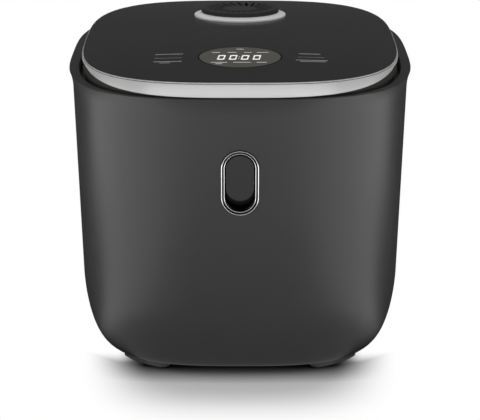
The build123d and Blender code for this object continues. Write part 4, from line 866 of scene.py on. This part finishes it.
class COOKER_OT_touch_marks(bpy.types.Operator):
    """Print the plain marks beside the display"""
    bl_idname = "cooker.touch_marks"
    bl_label = "Touch marks"

    def execute(self, context):
        rows = [(-54.5, -80.0, 22, 1.5), (-55.0, -91.8, 21, 0.5), (-55.0, -102.6, 22, 1.5),
                (-57.0, -106.6, 9, 1.3), (53.5, -79.4, 17, 1.5), (54.5, -89.6, 21, 0.5),
                (54.8, -98.8, 25, 1.5), (55.4, -102.6, 20, 1.3)]
        marks = joined("touch_marks", [flat_bar(*row) for row in rows])
        detail(lay_on_lid(marks), mark_grey(), "lid_panel")
        return {"FINISHED"}


class COOKER_OT_steam_vent(bpy.types.Operator):
    """Model the steam vent: its silver ring, its cup and its slotted cap"""
    bl_idname = "cooker.steam_vent"
    bl_label = "Steam vent"

    def execute(self, context):
        ring = turned("vent_collar", [
            (30.9, -1), (38.4, -1), (38.4, 0.6), (38.25, 0.88), (37.9, 1.03), (33.5, 2.68),
            (33.2, 2.84), (32.95, 2.9), (30.9, 2.9)])
        finished(place(ring, vent_place()), silver_paint(), "vent_ring", angle=40)
        rounded_copy("vent_body", frame_plastic())
        rounded_copy("vent_seal", grey_silicone())
        cap = turned("vent_cover", [
            (0.3, 4.3), (13.5, 4.0), (26.5, 4.4), (29.0, 4.2), (29.0, 0.1), (30.6, 0.1),
            (30.6, 3.0), (32.3, 3.0), (32.6, 3.3), (32.6, 5.4), (32.45, 5.9), (32.1, 6.3),
            (31.4, 6.6), (30.2, 6.85), (29.0, 6.8), (28.2, 6.4), (27.6, 6.1), (14.2, 4.9),
            (14.0, 5.3), (13.6, 5.6), (12.8, 5.7), (0.3, 5.7)], ends="fill")
        slots = []
        for step in range(SLOT_COUNT):
            slot = pill("slot", [(SLOT_RADIUS, 3), (SLOT_RADIUS, 14)], SLOT_LENGTH, 16, "fill")
            spot = (Matrix.Rotation(math.tau * step / SLOT_COUNT, 4, "Z")
                    @ Matrix.Translation((0, SLOT_OUT * MM, 0))
                    @ Matrix.Rotation(SLOT_TURN, 4, "Z"))
            slots.append(place(slot, spot))
        cut(cap, joined("slots", slots))
        finished(place(cap, vent_place()), cap_plastic(), "vent_cap", angle=35)
        return {"FINISHED"}


class COOKER_OT_button(bpy.types.Operator):
    """Model the release button, its bright rings and its cup"""
    bl_idname = "cooker.button"
    bl_label = "Release button"

    def execute(self, context):
        spot = button_place()
        up = Matrix.Translation((0, PADDLE_UP * MM, 0))
        bezel = pill("button_rim", [
            (14.1, 0), (14.1, 0.7), (14.0, 1.05), (13.8, 1.2), (13.6, 1.2), (13.4, 1.05),
            (13.3, 0.7), (13.3, 0)], BUTTON_STRAIGHT)
        finished(place(bezel, spot), bright_chrome(), "button_bezel", angle=60)
        # black rings of painted shade: one in the gap round the bezel, one in the groove between
        # the bezel and the inner rim
        for name, node, inner, outer, top in (("button_gap_shade", "button_bezel", 14.1, 14.5, 0.12),
                                              ("button_groove_shade", "button_cup", 12.2, 13.3, 0.35)):
            outline = [(inner, 0), (inner, top), (outer, top), (outer, 0)]
            detail(place(pill(name, outline, BUTTON_STRAIGHT), spot), painted_gap_shade(), node)
        cup = pill("button_well", [
            (0.3, -13), (BUTTON_HOLE, -13), (BUTTON_HOLE, 0.6), (12.1, 0.6), (12.1, -3),
            (11.7, -3), (11.7, -10.4), (10.6, -11.5), (0.3, -11.5)], BUTTON_STRAIGHT, ends="fill")
        cut(cup, place(turned("stem_hole", [(3.3, -20), (3.3, 0)], FINE_SIDES, "fill"), up))
        finished(place(cup, spot), gloss_black(), "button_cup", angle=40)
        trim = pill("button_inner_rim", [
            (12.1, -3), (12.1, 0.3), (12.0, 0.5), (11.8, 0.6), (11.6, 0.5), (11.4, 0.2),
            (11.35, -1.0), (11.1, -3)], BUTTON_STRAIGHT)
        finished(place(trim, spot), bright_chrome(), "button_trim", angle=60)
        face = pill("release_paddle", [
            (10.45, -5), (10.45, -0.5), (10.4, -0.25), (10.2, -0.08), (9.9, -0.02), (9.3, 0),
            (7.5, -0.03), (4.0, -0.06), (0.3, -0.08)], PADDLE_STRAIGHT, ends="fill")
        stem = turned("stem", [(3.0, -4.9), (3.0, -19.0)], FINE_SIDES, "fill")
        paddle = place(joined("release_paddle", [face, stem]), spot @ up)
        finished(paddle, button_plastic(), "release_button", angle=35)
        return {"FINISHED"}


class COOKER_OT_latch_and_hinge(bpy.types.Operator):
    """Finish the frame, the latch and the hinge"""
    bl_idname = "cooker.latch_and_hinge"
    bl_label = "Latch and hinge"

    def execute(self, context):
        rounded_copy("top_frame", frame_plastic())
        rounded_copy("frame_screws", plated_steel())
        rounded_copy("lid_bumpers", pad_rubber())
        for node in ("hinge_bracket", "latch_bracket"):
            rounded_copy(node, plated_steel(), 0.2)
        for node in ("hinge_screws", "hinge_pin", "hinge_spring", "latch_pin", "latch_spring"):
            rounded_copy(node, plated_steel())
        rounded_copy("latch_lever", white_plastic(), 0.2)
        return {"FINISHED"}


class COOKER_OT_pot(bpy.types.Operator):
    """Finish the cooking pot and its heater"""
    bl_idname = "cooker.pot"
    bl_label = "Pot and heater"

    def execute(self, context):
        rounded_copy("inner_pot", pot_coating())
        for node in ("inner_housing", "heating_plate", "thermal_sensor"):
            rounded_copy(node, spun_aluminium())
        rounded_copy("heating_element", dark_steel())
        rounded_copy("plate_spacers", ceramic(), 0.3)
        rounded_copy("side_heater", heater_cloth())
        rounded_copy("sensor_sleeve", frame_plastic())
        spring = rounded_copy("sensor_spring", plated_steel())
        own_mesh(spring)
        return {"FINISHED"}


class COOKER_OT_electrics(bpy.types.Operator):
    """Finish the boards and the power inlet"""
    bl_idname = "cooker.electrics"
    bl_label = "Boards and inlet"

    def execute(self, context):
        rounded_copy("power_board", board_laminate(), 0.2)
        rounded_copy("control_board", board_laminate(), 0.2)
        rounded_copy("display_module", gloss_black(), 0.3)
        rounded_copy("power_inlet", black_plastic(), 0.2)
        rounded_copy("board_screws", plated_steel())
        rounded_copy("inlet_screws", plated_steel())
        return {"FINISHED"}


# ------------ stage
def soft_lamp(name, place_at, aim, width, height, power):
    """A rectangular soft lamp that faces a point and stays out of glossy reflections."""
    lamp = bpy.data.lights.new(name, "AREA")
    lamp.shape = "RECTANGLE"
    lamp.size, lamp.size_y = width, height
    lamp.energy = power
    holder = bpy.data.objects.new(name, lamp)
    bpy.context.scene.collection.objects.link(holder)
    holder.location = place_at
    holder.rotation_euler = (Vector(aim) - Vector(place_at)).to_track_quat("-Z", "Y").to_euler()
    holder.visible_glossy = False


def round_box(tree, spot, shift, radii):
    """Distance from a point on the floor as a share of a rounded box's size."""
    made = add_nodes(tree, shift="VectorMath", scaled="VectorMath", square="VectorMath",
                     fourth="VectorMath", total="VectorMath", root="Math")
    made["spot"] = spot
    set_operations(made, shift="ADD", scaled="MULTIPLY", square="MULTIPLY", fourth="MULTIPLY",
                   total="DOT_PRODUCT", root="POWER")
    for name, value in (("shift", (0, shift, 0)), ("scaled", (1 / radii[0], 1 / radii[1], 0)),
                        ("total", (1, 1, 0)), ("root", 1 / 4)):
        made[name].inputs[1].default_value = value
    wire(tree, made,
         ("spot", "Position", "shift", 0), ("shift", 0, "scaled", 0),
         ("scaled", 0, "square", 0), ("scaled", 0, "square", 1),
         ("square", 0, "fourth", 0), ("square", 0, "fourth", 1),
         ("fourth", 0, "total", 0), ("total", "Value", "root", 0))
    return made["root"]


def floor_paint():
    """White floor that keeps the real shadow round the cooker's base, adds a painted shadow there
    by darkening its colour, and is plain white beyond it.
    """
    paint = bpy.data.materials.new("floor_paint")
    paint.use_nodes = True
    tree = paint.node_tree
    shader = tree.nodes["Principled BSDF"]
    shader.inputs["Roughness"].default_value = 0.7
    shader.inputs["Specular IOR Level"].default_value = 0.1
    made = add_nodes(tree, spot="NewGeometry", tone="MapRange", fade="MapRange",
                     parts="SeparateXYZ", behind="MapRange", across="Math", beside="MapRange",
                     both="Math", most="Math", ray="LightPath", share="Math", white="Emission",
                     mix="MixShader")
    made.update(shader=shader, result=tree.nodes["Material Output"],
                near=round_box(tree, made["spot"], 0, (0.135, 0.142)),
                far=round_box(tree, made["spot"], 0.045, (0.131, 0.215)))
    set_operations(made, across="ABSOLUTE", both="MULTIPLY", most="MAXIMUM", share="MULTIPLY")
    # painted shadow: the floor's colour runs from 0.005 at the base out to 0.95
    for name, curve, *ends in (("tone", "LINEAR", 0.905, 1.14, 0.005, 0.95),
                               ("fade", "SMOOTHSTEP", 0.58, 0.96, 0, 1),
                               ("behind", "SMOOTHSTEP", -0.135, -0.092, 0, 1),
                               ("beside", "SMOOTHSTEP", 0.078, 0.098, 0, 1)):
        made[name].interpolation_type = curve
        for socket, value in zip(("From Min", "From Max", "To Min", "To Max"), ends):
            made[name].inputs[socket].default_value = value
    wire(tree, made,
         ("near", 0, "tone", "Value"), ("tone", 0, "shader", "Base Color"),
         ("far", 0, "fade", "Value"), ("spot", "Position", "parts", 0),
         ("parts", "Y", "behind", "Value"), ("parts", "X", "across", 0),
         ("across", 0, "beside", "Value"), ("behind", 0, "both", 0), ("beside", 0, "both", 1),
         ("fade", 0, "most", 0), ("both", 0, "most", 1),
         ("ray", "Is Camera Ray", "share", 0), ("most", 0, "share", 1),
         ("share", 0, "mix", 0), ("shader", 0, "mix", 1), ("white", 0, "mix", 2),
         ("mix", 0, "result", "Surface"))
    return paint


def studio_world(ambient, room):
    """White behind everything, soft light on matt surfaces and a dim room in glossy ones."""
    world = bpy.data.worlds.new("studio")
    world.use_nodes = True
    tree = world.node_tree
    made = add_nodes(tree, light="Background", room="Background", white="Background",
                     seen="LightPath", either="Math", gloss="MixShader", mix="MixShader")
    made["result"] = tree.nodes["World Output"]
    for name, strength in (("light", ambient), ("room", room), ("white", 1.0)):
        made[name].inputs["Color"].default_value = (1, 1, 1, 1)
        made[name].inputs["Strength"].default_value = strength
    set_operations(made, either="MAXIMUM")
    wire(tree, made,
         ("seen", "Is Glossy Ray", "gloss", 0), ("light", 0, "gloss", 1), ("room", 0, "gloss", 2),
         ("seen", "Is Camera Ray", "either", 0), ("seen", "Is Transmission Ray", "either", 1),
         ("either", 0, "mix", 0), ("gloss", 0, "mix", 1), ("white", 0, "mix", 2),
         ("mix", 0, "result", "Surface"))
    world.cycles.sampling_method = "NONE"
    return world


def studio_card(name, corners, strength):
    """A flat card that only shows in glossy surfaces."""
    mesh = bpy.data.meshes.new(name)
    mesh.from_pydata(corners, [], [(0, 1, 2, 3)])
    card = bpy.data.objects.new(name, mesh)
    bpy.context.scene.collection.objects.link(card)
    paint = bpy.data.materials.new(name)
    paint.use_nodes = True
    tree = paint.node_tree
    glow = tree.nodes.new("ShaderNodeEmission")
    glow.inputs["Strength"].default_value = strength
    join(tree, glow, 0, tree.nodes["Material Output"], "Surface")
    mesh.materials.append(paint)
    for kind in ("camera", "diffuse", "transmission", "shadow", "volume_scatter"):
        setattr(card, "visible_" + kind, False)


def floor_card(name, corners, strength, up=0.002):
    """A card that lies just above the floor, from its (x, y) corners."""
    studio_card(name, [(x, y, up) for x, y in corners], strength)


class COOKER_OT_stage(bpy.types.Operator):
    """Make the floor, the lamps, the world and the camera"""
    bl_idname = "cooker.stage"
    bl_label = "Stage"

    def execute(self, context):
        scene = context.scene
        stage = settings().stage
        scene.view_settings.view_transform = "Standard"
        clear()
        bpy.ops.mesh.primitive_plane_add(size=30, location=(0, 0, 0))
        floor = context.object
        floor.name = "floor"
        bpy.ops.object.transform_apply(location=True, rotation=True, scale=True)
        floor.data.materials.append(floor_paint())
        scene.world = studio_world(0.30, 0.07)
        for side, name in ((-1, "left"), (1, "right")):
            soft_lamp(name + "_lamp", (side * 1.7, -0.45, 0.75), (0, 0, 0.12), 2.2, 1.4, 17)
            studio_card(name + "_flag", [(side * 0.2, 0.35, 0), (side * 2.5, 0.35, 0),
                                         (side * 2.5, 0.35, 1.6), (side * 0.2, 0.35, 1.6)], 0.02)
            for card, strength, corners in (
                    ("_near_card", 1.6, ((0.16, -1.4), (0.5, -1.4), (0.5, 0.0), (0.16, -0.1))),
                    ("_far_card", 2.4, ((0.5, -1.4), (1.9, -1.4), (1.9, 0.8), (0.5, 0.12)))):
                floor_card(name + card, [(side * x, y) for x, y in corners], strength)
        floor_card("floor_flag", [(-2, -0.07), (2, -0.07), (2, 3), (-2, 3)], 0.02, 0.001)
        floor_card("front_floor_card", [(-0.16, -0.6), (0.16, -0.6), (0.16, -0.125),
                                        (-0.16, -0.125)], 0.4)
        soft_lamp("top_lamp", (0, 0.8, 1.7), (0, 0, 0.1), 1.8, 1.6, 34)
        studio_card("front_card", [(-3, -3, 0), (3, -3, 0), (3, -3, 1.3), (-3, -3, 1.3)], 1.0)
        camera = bpy.data.cameras.new("camera")
        camera.lens = stage.lens
        camera.sensor_width = 36
        camera.sensor_fit = "HORIZONTAL"
        camera.clip_end = 50
        holder = bpy.data.objects.new("camera", camera)
        scene.collection.objects.link(holder)
        holder.location = (0, -stage.distance, stage.height)
        holder.rotation_euler = (math.pi / 2 - stage.pitch, 0, 0)
        scene.camera = holder
        return {"FINISHED"}


PIECES = (COOKER_OT_case, COOKER_OT_base, COOKER_OT_lid_panel, COOKER_OT_lid_trim,
          COOKER_OT_lid_underside, COOKER_OT_display, COOKER_OT_touch_marks,
          COOKER_OT_steam_vent, COOKER_OT_button, COOKER_OT_latch_and_hinge, COOKER_OT_pot,
          COOKER_OT_electrics, COOKER_OT_stage)


class COOKER_PT_panel(bpy.types.Panel):
    """Lists the pieces of the rice cooker"""
    bl_idname = "COOKER_PT_panel"
    bl_label = "Rice cooker"
    bl_space_type = "VIEW_3D"
    bl_region_type = "UI"
    bl_category = "Rice cooker"

    def draw(self, context):
        for piece in PIECES:
            self.layout.operator(piece.bl_idname)
        for group in ("case", "lid", "display", "stage"):
            sizes = getattr(settings(), group)
            for name in sizes.bl_rna.properties.keys():
                if name not in ("rna_type", "name"):
                    self.layout.prop(sizes, name)


CLASSES = (CaseSizes, LidSizes, DisplaySizes, StageSizes, CookerSettings, *PIECES, COOKER_PT_panel)


def register():
    """Register the classes and the settings."""
    for made in CLASSES:
        bpy.utils.register_class(made)
    bpy.types.Scene.rice_cooker = bpy.props.PointerProperty(type=CookerSettings)


def unregister():
    """Remove the settings and the classes."""
    del bpy.types.Scene.rice_cooker
    for made in reversed(CLASSES):
        bpy.utils.unregister_class(made)


def main():
    """Model every piece."""
    register()
    for piece in PIECES:
        group, name = piece.bl_idname.split(".")
        getattr(getattr(bpy.ops, group), name)()
    clear()


if __name__ == "__main__":
    main()
